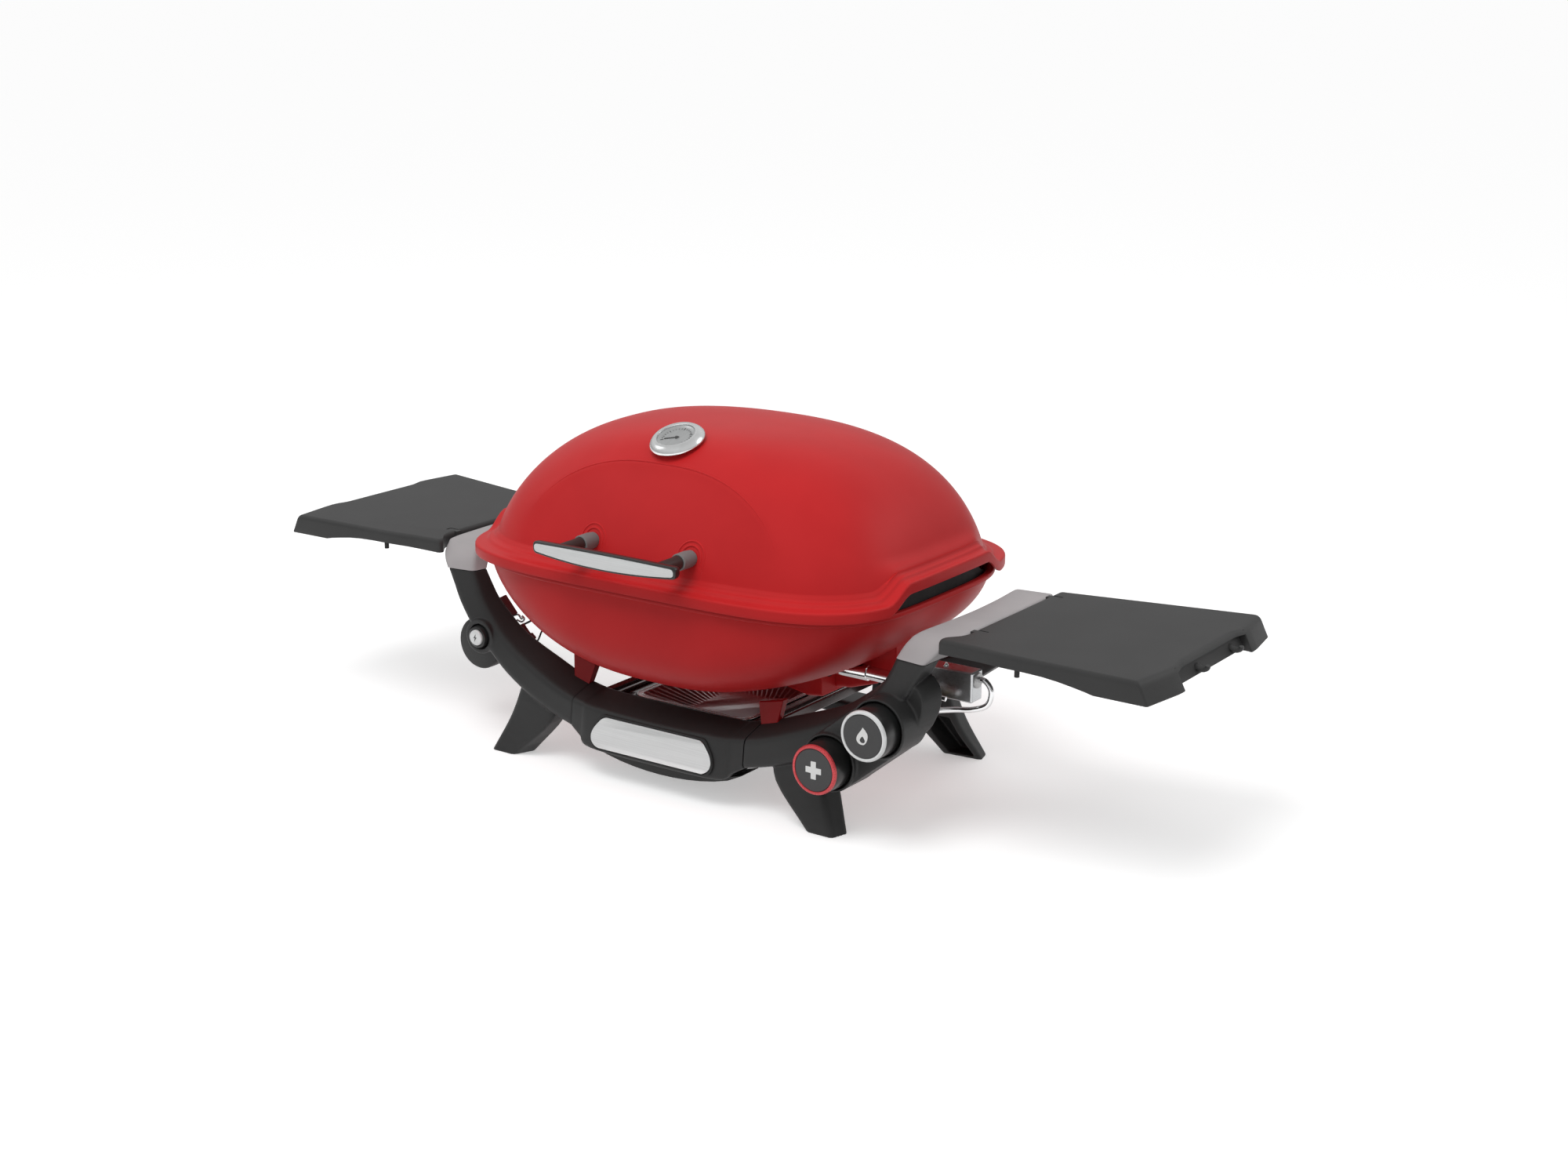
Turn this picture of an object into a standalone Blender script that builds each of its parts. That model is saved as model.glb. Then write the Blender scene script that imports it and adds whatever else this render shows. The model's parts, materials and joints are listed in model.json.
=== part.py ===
"""A tabletop gas barbecue grill with a tall hinged lid, two fold-up side tables and two burners.

Metres, +Z up. The origin is under the feet, in the middle of the grill's bounding box: X runs
along the long side, and the handle is on the -Y side. The dimensions below are measured from
the middle of the lid, and ORIGIN_SHIFT then moves the whole grill.
"""

import math

import bmesh
import bpy
from mathutils import Matrix, Vector

# ---------------------------------------------------------------- driving dimensions
GAP = 0.0003
ORIGIN_SHIFT = 0.0112
HOLE_SIDES = 16

# Lid and cookbox: rings of superellipses around the same vertical axis.
RING_POINTS = 40
RIM_HALF_WIDTH = 0.317
RIM_HALF_DEPTH = 0.2265
RIM_POWER = 4.2
LID_LOWER_EDGE = 0.2642
LID_TOP = 0.443
LID_WALL = 0.003
DOME_HALF_WIDTH = 0.301
DOME_FRONT = 0.2030
DOME_BACK = 0.2010
DOME_BASE = 0.276
FACET_TOP = 0.408
FACET_REACH = 0.152
VENT_LIFT = 0.021
VENT_FLAT_HALF = 0.086
VENT_END = 0.128
BOWL_HALF_WIDTH = 0.3095
BOWL_HALF_DEPTH = 0.2185
BOWL_TOP = 0.2634
BOWL_BOTTOM = 0.126
DRAIN_HALF_WIDTH = 0.032
DRAIN_HALF_DEPTH = 0.024

# Lid hinge.
HINGE_Y = 0.2390
HINGE_Z = 0.2555
HINGE_X = 0.095
HINGE_PIN_RADIUS = 0.003

# Handle.
HANDLE_Y = -0.2700
HANDLE_Z = 0.3150
HANDLE_HALF_LENGTH = 0.108
HANDLE_HALF_HEIGHT = 0.0128
HANDLE_END_HALF_HEIGHT = 0.0075
HANDLE_DEPTH = 0.014
POST_X = 0.0745
POST_Z = 0.3140
POST_RADIUS = 0.0088
POST_BASE_Y = -0.1993
POST_LENGTH = 0.0564
BOSS_RADIUS = 0.0130
COLLAR_RADIUS = 0.0102
COLLAR_LENGTH = 0.0150

# Thermometer.
GAUGE_Y = -0.120
GAUGE_Z = 0.4315
GAUGE_TILT = math.radians(22)
GAUGE_RADIUS = 0.0348

# Cradle hoop. The front half is drawn, and the back half mirrors it.
RAIL_TOP = 0.2528
RAIL_UNDERSIDE = 0.2340
CAP_SEAM_Z = 0.2220
FOOT_FLOOR = 0.004

# Side tables.
TABLE_TOP = 0.2560
TABLE_INNER_X = 0.4000
TABLE_FLARE = 0.0120
TABLE_PLATE = 0.003
TABLE_PIVOT_X = 0.4090
TABLE_PIVOT_Z = 0.2520
TABLE_HINGE_Y = 0.088
NOTCH_HALF = 0.008
LUG_HALF = 0.004

# Controls.
MAIN_KNOB_X = 0.3233
MAIN_KNOB_Z = 0.1441
SMALL_KNOB_X = 0.2559
SMALL_KNOB_Z = 0.0892
KNOB_FACE_Y = -0.2000
KNOB_RADIUS = 0.0305
KNOB_LENGTH = 0.0340
CUP_RADIUS = 0.0362
CUP_FRONT_Y = -0.1710
CUP_FLOOR_Y = -0.1610
CUP_BACK_Y = -0.1180
STEM_RADIUS = 0.004
BUTTON_X = -0.3050
BUTTON_Z = 0.1410
BUTTON_FACE_Y = -0.1630

# Gas train.
TUBE_Y = -0.055
TUBE_Z = 0.164
TUBE_RADIUS = 0.0085
BURNER_Z = 0.178

# Catch pan.
PAN_TOP = 0.0880
PAN_HALF_WIDTH = 0.098
PAN_HALF_LENGTH = 0.095
PAN_DEPTH = 0.030
PAN_WALL = 0.0015


# ---------------------------------------------------------------- helpers
def material(name, color, roughness, metallic=0.0):
    mat = bpy.data.materials.new(name)
    mat.use_nodes = True
    shader = mat.node_tree.nodes["Principled BSDF"]
    shader.inputs["Base Color"].default_value = (*color, 1.0)
    shader.inputs["Roughness"].default_value = roughness
    shader.inputs["Metallic"].default_value = metallic
    return mat


def new_collection(name):
    collection = bpy.data.collections.new(name)
    bpy.context.scene.collection.children.link(collection)
    return collection


def clear_scene():
    for obj in list(bpy.data.objects):
        bpy.data.objects.remove(obj, do_unlink=True)


clear_scene()
GRILL = new_collection("gas_barbecue_grill")
CUTTERS = new_collection("cutters")

RED = material("red_enamel", (0.47, 0.022, 0.022), 0.38)
CHARCOAL = material("charcoal_plastic", (0.028, 0.028, 0.029), 0.5)
TABLE_GREY = material("table_grey_plastic", (0.055, 0.055, 0.056), 0.55)
LIGHT_GREY = material("light_grey_paint", (0.50, 0.47, 0.48), 0.45)
BLACK = material("black_plastic", (0.012, 0.012, 0.012), 0.35)
BRUSHED = material("brushed_aluminium", (0.72, 0.74, 0.75), 0.35, 1.0)
CHROME = material("chrome", (0.80, 0.80, 0.80), 0.12, 1.0)
STEEL = material("galvanised_steel", (0.55, 0.56, 0.58), 0.35, 1.0)
CAST = material("cast_iron", (0.035, 0.035, 0.036), 0.6, 0.3)
BRASS = material("brass", (0.70, 0.52, 0.22), 0.35, 1.0)
WHITE_RING = material("white_ring", (0.75, 0.76, 0.77), 0.3, 0.6)
RED_RING = material("red_ring", (0.80, 0.10, 0.12), 0.3, 0.3)
FOIL = material("aluminium_foil", (0.75, 0.75, 0.76), 0.3, 1.0)
CERAMIC = material("ceramic", (0.80, 0.79, 0.75), 0.4)


def finish_mesh(name, bm, mat, smooth_angle=35.0):
    """Turns a bmesh into a shaded object in the grill's collection."""
    bmesh.ops.remove_doubles(bm, verts=bm.verts, dist=1e-6)
    bmesh.ops.recalc_face_normals(bm, faces=bm.faces)
    mesh = bpy.data.meshes.new(name)
    bm.to_mesh(mesh)
    bm.free()
    mesh.materials.append(mat)
    mesh.shade_smooth()
    mesh.set_sharp_from_angle(angle=math.radians(smooth_angle))
    obj = bpy.data.objects.new(name, mesh)
    GRILL.objects.link(obj)
    return obj


def loft_bmesh(rings, cap_start=True, cap_end=True, closed=False):
    """Quads between rings of the same number of points. A one-point ring is a pole."""
    bm = bmesh.new()
    rows = [[bm.verts.new(point) for point in ring] for ring in rings]
    count = max(len(row) for row in rows)
    pairs = list(zip(rows, rows[1:]))
    if closed:
        pairs.append((rows[-1], rows[0]))
    for low, high in pairs:
        for i in range(count):
            j = (i + 1) % count
            if len(low) == 1:
                bm.faces.new((low[0], high[j], high[i]))
            elif len(high) == 1:
                bm.faces.new((low[i], low[j], high[0]))
            else:
                bm.faces.new((low[i], low[j], high[j], high[i]))
    if cap_start and not closed and len(rows[0]) > 2:
        bm.faces.new(rows[0])
    if cap_end and not closed and len(rows[-1]) > 2:
        bm.faces.new(rows[-1])
    bmesh.ops.triangulate(bm, faces=bm.faces)
    return bm


def loft(name, rings, mat, **caps):
    return finish_mesh(name, loft_bmesh(rings, **caps), mat)


def rounded(corners, radius, steps=2):
    """A polygon in space with each corner turned into a short curve."""
    points = []
    count = len(corners)
    corners = [Vector(corner) for corner in corners]
    radii = radius if isinstance(radius, (list, tuple)) else [radius] * count
    for i, corner in enumerate(corners):
        before = corners[i - 1] - corner
        after = corners[(i + 1) % count] - corner
        size = min(radii[i], before.length * 0.45, after.length * 0.45)
        start = corner + before.normalized() * size
        end = corner + after.normalized() * size
        for step in range(steps + 1):
            t = step / steps
            points.append(start * (1 - t) ** 2 + corner * 2 * t * (1 - t) + end * t**2)
    return points


def superellipse(half_width, front, back, power, z, count=RING_POINTS):
    """A ring of points, evenly turned. front and back are its reach to -Y and +Y."""
    ring = []
    for i in range(count):
        angle = 2 * math.pi * i / count
        c = math.cos(angle)
        s = math.sin(angle)
        x = half_width * math.copysign(abs(c) ** (2 / power), c)
        reach = front if s < 0 else back
        y = reach * math.copysign(abs(s) ** (2 / power), s)
        ring.append((x, y, z))
    return ring


def box_bmesh(low, high):
    bm = bmesh.new()
    size = Vector(high) - Vector(low)
    centre = (Vector(high) + Vector(low)) / 2
    matrix = Matrix.Translation(centre) @ Matrix.Diagonal((*size, 1.0))
    bmesh.ops.create_cube(bm, size=1.0, matrix=matrix)
    return bm


def box(name, low, high, mat, bevel=0.0):
    obj = finish_mesh(name, box_bmesh(low, high), mat)
    if bevel:
        add_bevel(obj, bevel)
    return obj


def cylinder_bmesh(start, end, radius, end_radius=None, sides=24):
    bm = bmesh.new()
    start = Vector(start)
    axis = Vector(end) - start
    turn = axis.to_track_quat("Z", "Y").to_matrix().to_4x4()
    matrix = Matrix.Translation(start + axis / 2) @ turn
    far = radius if end_radius is None else end_radius
    bmesh.ops.create_cone(
        bm,
        cap_ends=True,
        segments=sides,
        radius1=radius,
        radius2=far,
        depth=axis.length,
        matrix=matrix,
    )
    return bm


def cylinder(name, start, end, radius, mat, end_radius=None, sides=24, bevel=0.0):
    obj = finish_mesh(name, cylinder_bmesh(start, end, radius, end_radius, sides), mat)
    if bevel:
        add_bevel(obj, bevel)
    return obj


def add_bevel(obj, width, segments=2):
    modifier = obj.modifiers.new("Bevel", "BEVEL")
    modifier.width = width
    modifier.segments = segments
    modifier.limit_method = "ANGLE"
    modifier.angle_limit = math.radians(40)


def cutter(name, bm):
    """A helper solid that Booleans use and renders leave out."""
    obj = finish_mesh(name, bm, BLACK)
    GRILL.objects.unlink(obj)
    CUTTERS.objects.link(obj)
    obj.hide_render = True
    obj.display_type = "WIRE"
    return obj


def boolean(obj, other, operation):
    modifier = obj.modifiers.new(operation.title() + " " + other.name, "BOOLEAN")
    modifier.operation = operation
    modifier.object = other
    modifier.solver = "EXACT"


def cut(obj, name, bm):
    boolean(obj, cutter(name, bm), "DIFFERENCE")


def join(obj, name, bm):
    boolean(obj, cutter(name, bm), "UNION")


def tube(name, points, radius, mat, resolution=2, cyclic=False):
    curve = bpy.data.curves.new(name, "CURVE")
    curve.dimensions = "3D"
    curve.bevel_depth = radius
    curve.bevel_resolution = resolution
    curve.use_fill_caps = not cyclic
    spline = curve.splines.new("POLY")
    spline.points.add(len(points) - 1)
    for point, place in zip(spline.points, points):
        point.co = (*place, 1.0)
    spline.use_cyclic_u = cyclic
    spline.use_smooth = True
    curve.materials.append(mat)
    obj = bpy.data.objects.new(name, curve)
    GRILL.objects.link(obj)
    return obj


def smooth_path(knots, per_span=5):
    """Points along a Catmull-Rom curve through the knots."""
    knots = [Vector(knot) for knot in knots]
    padded = [knots[0] * 2 - knots[1], *knots, knots[-1] * 2 - knots[-2]]
    path = []
    for i in range(len(knots) - 1):
        a, b, c, d = padded[i : i + 4]
        for step in range(per_span):
            t = step / per_span
            path.append(
                0.5
                * (
                    2 * b
                    + (c - a) * t
                    + (2 * a - 5 * b + 4 * c - d) * t**2
                    + (3 * b - a - 3 * c + d) * t**3
                )
            )
    path.append(knots[-1])
    return path


def turned(name, profile, mat, steps=24, matrix=None, smooth_angle=35.0):
    """A solid of revolution about Z from (radius, height) pairs that run down its outer side."""
    mesh = bpy.data.meshes.new(name)
    points = [(radius, 0.0, height) for radius, height in profile]
    mesh.from_pydata(points, [(i, i + 1) for i in range(len(points) - 1)], [])
    obj = bpy.data.objects.new(name, mesh)
    GRILL.objects.link(obj)
    screw = obj.modifiers.new("Screw", "SCREW")
    screw.steps = steps
    screw.render_steps = steps
    screw.use_merge_vertices = True
    screw.merge_threshold = 0.00001
    screw.use_smooth_shade = True
    mesh.materials.append(mat)
    if matrix is not None:
        obj.matrix_world = matrix
    return obj


def placed(obj, pivot):
    """Moves the object's origin to its joint, with its shape left where it is."""
    obj.data.transform(Matrix.Translation(-Vector(pivot)))
    obj.location = pivot
    return obj


def pivot_empty(name, location):
    empty = bpy.data.objects.new(name, None)
    empty.location = location
    empty.empty_display_size = 0.03
    GRILL.objects.link(empty)
    return empty


def hang(children, empty):
    """Parents pieces to a joint's empty and keeps them in place."""
    for child in children:
        child.parent = empty
        child.matrix_parent_inverse = Matrix.Translation(-empty.location)


def smoothstep(low, high, value):
    t = min(1.0, max(0.0, (value - low) / (high - low)))
    return t * t * (3 - 2 * t)


def mirrored(points, x=1.0, y=1.0):
    return [(point[0] * x, point[1] * y, point[2]) for point in points]


# ---------------------------------------------------------------- lid
def dome_size(u):
    """Half width, front reach, back reach and power of the dome at height fraction u."""
    width = DOME_HALF_WIDTH * (1 - u**1.68) ** (1 / 3.05)
    front = DOME_FRONT * (1 - u**1.65) ** (1 / 4.0)
    back = DOME_BACK * (1 - u**3.85) ** (1 / 2.21)
    return width, front, back, 3.9 - 1.7 * u


def vent_lift(point):
    return VENT_LIFT * (1 - smoothstep(VENT_FLAT_HALF, VENT_END, abs(point[1])))


def lifted(ring, share):
    """Raises the two ends of a ring, where the lid leaves a slot over the cookbox rim."""
    return [(x, y, z + share * vent_lift((x, y)) * (abs(x) > 0.15)) for x, y, z in ring]


def facet_reach(x, z):
    """How far forward the pressed front facet lies, which cuts the dome to an arched crease."""
    below = FACET_TOP - z
    return FACET_REACH + 0.6 * below - 1.43 * below**2 - 0.32 * x**2


def dome_ring(u, inset):
    width, front, back, power = dome_size(u)
    z = DOME_BASE + (LID_TOP - DOME_BASE) * u - inset
    share = max(0.0, 1 - u / 0.22)
    ring = superellipse(width - inset, front - inset, back - inset, power, z)
    if z < FACET_TOP + 0.02:
        ring = [(x, max(y, inset - facet_reach(x, z)), z) for x, y, z in ring]
    return lifted(ring, share)


def rim_ring(inset, z):
    ring = superellipse(
        RIM_HALF_WIDTH - inset, RIM_HALF_DEPTH - inset, RIM_HALF_DEPTH - inset, RIM_POWER, z
    )
    return lifted(ring, 1.0)


def make_lid():
    levels = (0.985, 0.94, 0.85, 0.70, 0.52, 0.33, 0.16, 0.05)
    outer = [[(0.0, 0.0, LID_TOP)]]
    outer += [dome_ring(u, 0.0) for u in levels]
    flange = [
        rim_ring(0.0135, 0.2775),
        rim_ring(0.0020, 0.2740),
        rim_ring(0.0, 0.2720),
        rim_ring(0.0, LID_LOWER_EDGE),
        rim_ring(LID_WALL, LID_LOWER_EDGE),
        rim_ring(LID_WALL, 0.2700),
        rim_ring(0.0140, 0.2735),
    ]
    inner = [dome_ring(u, LID_WALL) for u in reversed(levels)]
    inner += [[(0.0, 0.0, LID_TOP - LID_WALL)]]
    lid = loft("lid_shell", outer + flange + inner, RED)
    stem_hole = cylinder_bmesh(gauge_point(-0.03), gauge_point(0.03), 0.0042, sides=HOLE_SIDES)
    cut(lid, "gauge_hole", stem_hole)
    for side in (-1, 1):
        start = (side * POST_X, POST_BASE_Y + GAP, POST_Z)
        end = (side * POST_X, POST_BASE_Y + 0.0130, POST_Z)
        join(lid, f"post_boss_{side}", cylinder_bmesh(start, end, BOSS_RADIUS))
        hole = cylinder_bmesh(
            (side * POST_X, -0.24, POST_Z), (side * POST_X, -0.16, POST_Z), 0.0032, sides=HOLE_SIDES
        )
        cut(lid, f"post_screw_hole_{side}", hole)
    return lid


def gauge_point(distance):
    """A point on the thermometer's axis, at this distance out from the lid."""
    return (0.0, GAUGE_Y - distance * math.sin(GAUGE_TILT), GAUGE_Z + distance * math.cos(GAUGE_TILT))


def gauge_matrix():
    return Matrix.Translation(gauge_point(0.0)) @ Matrix.Rotation(GAUGE_TILT, 4, "X")


def make_thermometer():
    bezel = turned(
        "thermometer_bezel",
        [
            (0.0240, 0.0105),
            (0.0270, 0.0112),
            (0.0300, 0.0105),
            (GAUGE_RADIUS, 0.0040),
            (GAUGE_RADIUS, 0.0022),
            (0.0300, 0.0022),
            (0.0060, 0.0022),
            (0.0060, 0.0050),
            (0.0240, 0.0050),
            (0.0240, 0.0105),
        ],
        CHROME,
        steps=32,
        matrix=gauge_matrix(),
    )
    dial = turned(
        "thermometer_dial",
        [
            (0.0, 0.0066),
            (0.0190, 0.0070),
            (0.0236, 0.0086),
            (0.0236, 0.0054),
            (0.0052, 0.0054),
            (0.0034, 0.0030),
            (0.0034, -0.0400),
            (0.0, -0.0415),
        ],
        BRUSHED,
        steps=24,
        matrix=gauge_matrix(),
    )
    return [bezel, dial]


def handle_outline(y, half_length, middle, end):
    """The handle's lens-shaped outline in the plane at y."""
    points = []
    for side in (1, -1):
        for i in range(9):
            x = half_length * (1 - i / 4) * side
            fullness = 1 - (x / half_length) ** 2
            points.append((x, y, HANDLE_Z + side * (end + (middle - end) * fullness)))
    return points


def make_handle():
    inner = HANDLE_Y + HANDLE_DEPTH
    length = HANDLE_HALF_LENGTH
    full = (HANDLE_HALF_HEIGHT, HANDLE_END_HALF_HEIGHT)
    slim = (0.0105, 0.0055)
    bar_rings = [
        handle_outline(HANDLE_Y + 0.0002, length - 0.003, *slim),
        handle_outline(HANDLE_Y + 0.0030, length, *full),
        handle_outline(inner - 0.0060, length - 0.001, *full),
        handle_outline(inner, length - 0.012, *slim),
    ]
    bar = loft("handle_bar", bar_rings, BLACK)
    insert_back = HANDLE_Y + 0.0022
    pocket = loft_bmesh(
        [
            handle_outline(insert_back, HANDLE_HALF_LENGTH - 0.0045, 0.0094, 0.0048),
            handle_outline(HANDLE_Y - 0.01, HANDLE_HALF_LENGTH - 0.0045, 0.0094, 0.0048),
        ]
    )
    cut(bar, "handle_insert_pocket", pocket)
    insert = loft(
        "handle_insert",
        [
            handle_outline(HANDLE_Y - 0.0004, HANDLE_HALF_LENGTH - 0.0054, 0.0087, 0.0042),
            handle_outline(insert_back - GAP, HANDLE_HALF_LENGTH - 0.0050, 0.0090, 0.0045),
        ],
        BRUSHED,
    )
    pieces = [bar, insert]
    for side, label in ((-1, "left"), (1, "right")):
        pieces.append(
            turned(
                f"handle_post_{label}",
                [
                    (0.0, POST_LENGTH),
                    (0.0078, POST_LENGTH),
                    (POST_RADIUS, COLLAR_LENGTH),
                    (COLLAR_RADIUS, COLLAR_LENGTH),
                    (COLLAR_RADIUS, 0.0),
                    (0.0, 0.0),
                ],
                BLACK,
                steps=20,
                matrix=face_matrix(side * POST_X, POST_BASE_Y, POST_Z),
            )
        )
    return pieces


def make_lid_hinges():
    """Lid lugs, cookbox lugs and pins at the back. Returns the lid's pieces and the fixed ones."""
    lid_side = []
    fixed = []
    for side, label in ((-1, "left"), (1, "right")):
        inner = side * (HINGE_X + 0.0045)
        outer = side * (HINGE_X + 0.0125)
        low_x, high_x = sorted((inner, outer))
        profile = [
            (HINGE_Y + 0.008, HINGE_Z - 0.006),
            (HINGE_Y + 0.009, HINGE_Z + 0.008),
            (HINGE_Y - 0.002, HINGE_Z + 0.026),
            (0.2018, 0.2935),
            (0.2018, 0.2855),
            (0.2136, 0.2784),
            (0.2285, 0.2745),
            (HINGE_Y - 0.008, HINGE_Z + 0.004),
            (HINGE_Y - 0.006, HINGE_Z - 0.008),
        ]
        lug = loft(
            f"lid_hinge_lug_{label}",
            [[(x, y, z) for y, z in profile] for x in (low_x, high_x)],
            RED,
        )
        pin_span = (side * (HINGE_X - 0.0075), side * (HINGE_X + 0.0150))
        bore = cylinder_bmesh(
            (side * 0.05, HINGE_Y, HINGE_Z), (side * 0.15, HINGE_Y, HINGE_Z), 0.0034, sides=HOLE_SIDES
        )
        cut(lug, f"lid_lug_bore_{label}", bore)
        lid_side.append(lug)
        low_x, high_x = sorted((side * (HINGE_X - 0.005), side * (HINGE_X + 0.0040)))
        profile = [
            (0.2190, 0.2440),
            (0.2190, 0.2628),
            (HINGE_Y + 0.004, 0.2628),
            (HINGE_Y + 0.008, HINGE_Z + 0.002),
            (HINGE_Y + 0.006, HINGE_Z - 0.007),
        ]
        lug = loft(
            f"cookbox_hinge_lug_{label}",
            [[(x, y, z) for y, z in profile] for x in (low_x, high_x)],
            RED,
        )
        boolean(lug, bpy.data.objects[f"lid_lug_bore_{label}"], "DIFFERENCE")
        fixed.append(lug)
        pin = cylinder(
            f"lid_hinge_pin_{label}",
            (pin_span[0], HINGE_Y, HINGE_Z),
            (pin_span[1], HINGE_Y, HINGE_Z),
            HINGE_PIN_RADIUS,
            STEEL,
            sides=HOLE_SIDES,
        )
        fixed.append(pin)
    return lid_side, fixed


# ---------------------------------------------------------------- cookbox and fire
def bowl_ring(depth, inset):
    """A ring of the bowl at this depth fraction below its rim, moved in by inset."""
    width = 0.3060 * (1 - depth**1.81) ** (1 / 1.91)
    reach = 0.2170 * (1 - depth**4.47) ** (1 / 3.61)
    power = 3.65 - 0.6 * depth
    z = BOWL_TOP - (BOWL_TOP - 0.1236) * depth + inset * min(1.0, depth * 1.6)
    inset *= 1.0 + 0.6 * depth
    return superellipse(width - inset, reach - inset, reach - inset, power, z)


def make_cookbox():
    levels = (0.05, 0.16, 0.30, 0.45, 0.60, 0.74, 0.86, 0.95)
    drain_out = superellipse(DRAIN_HALF_WIDTH, DRAIN_HALF_DEPTH, DRAIN_HALF_DEPTH, 2.4, BOWL_BOTTOM - 0.001)
    drain_in = superellipse(DRAIN_HALF_WIDTH, DRAIN_HALF_DEPTH, DRAIN_HALF_DEPTH, 2.4, BOWL_BOTTOM + 0.003)
    outer = [bowl_ring(level, 0.0) for level in reversed(levels)]
    rim = [
        superellipse(BOWL_HALF_WIDTH, BOWL_HALF_DEPTH, BOWL_HALF_DEPTH, 3.9, BOWL_TOP - 0.006),
        superellipse(BOWL_HALF_WIDTH, BOWL_HALF_DEPTH, BOWL_HALF_DEPTH, 3.9, BOWL_TOP),
        superellipse(0.3000, 0.2100, 0.2100, 3.9, BOWL_TOP),
        superellipse(0.2955, 0.2080, 0.2080, 3.7, 0.2420),
        superellipse(0.2840, 0.2000, 0.2000, 3.7, 0.2400),
    ]
    inner = [bowl_ring(level, 0.0035) for level in levels[2:]]
    cookbox = loft("cookbox", [drain_out, *outer, *rim, *inner, drain_in], RED, closed=True)
    cut(
        cookbox,
        "burner_port",
        cylinder_bmesh((0.12, TUBE_Y, TUBE_Z), (0.26, TUBE_Y, TUBE_Z), 0.0150, sides=24),
    )
    cut(
        cookbox,
        "small_burner_port",
        cylinder_bmesh((0.12, 0.02, TUBE_Z), (0.26, 0.02, TUBE_Z), 0.0110, sides=HOLE_SIDES),
    )
    cut(
        cookbox,
        "electrode_port",
        cylinder_bmesh((-0.16, -0.03, TUBE_Z), (-0.27, -0.03, TUBE_Z), 0.0060, sides=HOLE_SIDES),
    )
    return cookbox


def rounded_loop(half_width, half_depth, corner, z, per_corner=5):
    """Points round a rectangle with arcs at its corners."""
    points = []
    for turn in range(4):
        sx = (1, -1, -1, 1)[turn]
        sy = (1, 1, -1, -1)[turn]
        centre = ((half_width - corner) * sx, (half_depth - corner) * sy)
        for i in range(per_corner + 1):
            angle = math.pi / 2 * (turn + i / per_corner)
            points.append((centre[0] + corner * math.cos(angle), centre[1] + corner * math.sin(angle), z))
    return points


def make_burners():
    loop = tube("main_burner_loop", rounded_loop(0.168, 0.105, 0.05, BURNER_Z), 0.0065, STEEL, cyclic=True)
    main_feed = cylinder(
        "main_burner_tube",
        (0.1750, TUBE_Y, TUBE_Z + 0.004),
        (0.3180, TUBE_Y, TUBE_Z),
        TUBE_RADIUS,
        CHROME,
        sides=20,
    )
    small_feed = tube(
        "small_burner",
        [(-0.09, 0.02, 0.166), (0.05, 0.02, 0.166), (0.15, 0.02, 0.165), (0.3180, 0.02, TUBE_Z)],
        0.0065,
        STEEL,
    )
    return [loop, main_feed, small_feed]


def make_grate(name, side):
    """Half of the cooking grate: a cast plate with long slots."""
    rings = []
    for z in (0.2426, 0.2520):
        ring = []
        for x, y, _ in superellipse(0.2925, 0.2050, 0.2050, 3.6, z, 64):
            if side * x > 0.0010:
                ring.append((x, y, z))
        if side < 0:
            ring.sort(key=lambda p: math.atan2(p[1], p[0]) % (2 * math.pi))
        else:
            ring.sort(key=lambda p: math.atan2(p[1], p[0]))
        ring = [(side * 0.0010, ring[0][1], z), *ring, (side * 0.0010, ring[-1][1], z)]
        rings.append(ring)
    grate = loft(name, rings, CAST)
    slot_half = 0.0052
    for i in range(14):
        x = side * (0.0195 + i * 0.0185)
        power = 3.6
        reach = 0.2050 * max(0.05, 1 - (abs(x + side * 0.006) / 0.2925) ** power) ** (1 / power) - 0.013
        if reach < 0.05:
            continue
        bm = box_bmesh((x - slot_half, -reach, 0.23), (x + slot_half, reach, 0.26))
        cut(grate, f"{name}_slot_{i}", bm)
    return grate


# ---------------------------------------------------------------- cradle
# Each station of the front arm: the x and z of its front crease, its outer edge and its inner back edge.
ARM_STATIONS = (
    (0.1343, 0.0932, 0.1343, 0.0560, 0.1343, 0.0975),
    (0.1646, 0.1007, 0.1740, 0.0660, 0.1590, 0.1045),
    (0.1976, 0.1126, 0.2130, 0.0800, 0.1890, 0.1150),
    (0.2348, 0.1279, 0.2560, 0.1010, 0.2240, 0.1290),
    (0.2668, 0.1457, 0.2920, 0.1263, 0.2520, 0.1430),
    (0.2896, 0.1644, 0.3210, 0.1494, 0.2770, 0.1640),
    (0.3092, 0.1861, 0.3455, 0.1785, 0.2990, 0.1860),
    (0.3188, 0.2035, 0.3590, 0.2035, 0.3115, 0.2035),
    (0.3265, CAP_SEAM_Z, 0.3692, CAP_SEAM_Z, 0.3229, CAP_SEAM_Z),
)


def crease_y(x):
    """The hoop bows: its front crease moves back as the arm climbs."""
    return -0.1771 + 0.360 * x**2


def outer_edge_y(x):
    return -0.1800 + 0.257 * x**2


def inner_back_y(x):
    return -0.1335 + 0.056 * x


def arm_section(station, x=1.0, y=1.0):
    cx, cz, ox, oz, bx, bz = station
    corners = [
        (cx, crease_y(cx), cz),
        (ox, outer_edge_y(ox), oz),
        (ox, inner_back_y(bx) + 0.008 * smoothstep(0.25, 0.36, ox), oz),
        (bx, inner_back_y(bx), bz),
    ]
    return mirrored(rounded(corners, [0.006, 0.009, 0.004, 0.006]), x, y)


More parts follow.
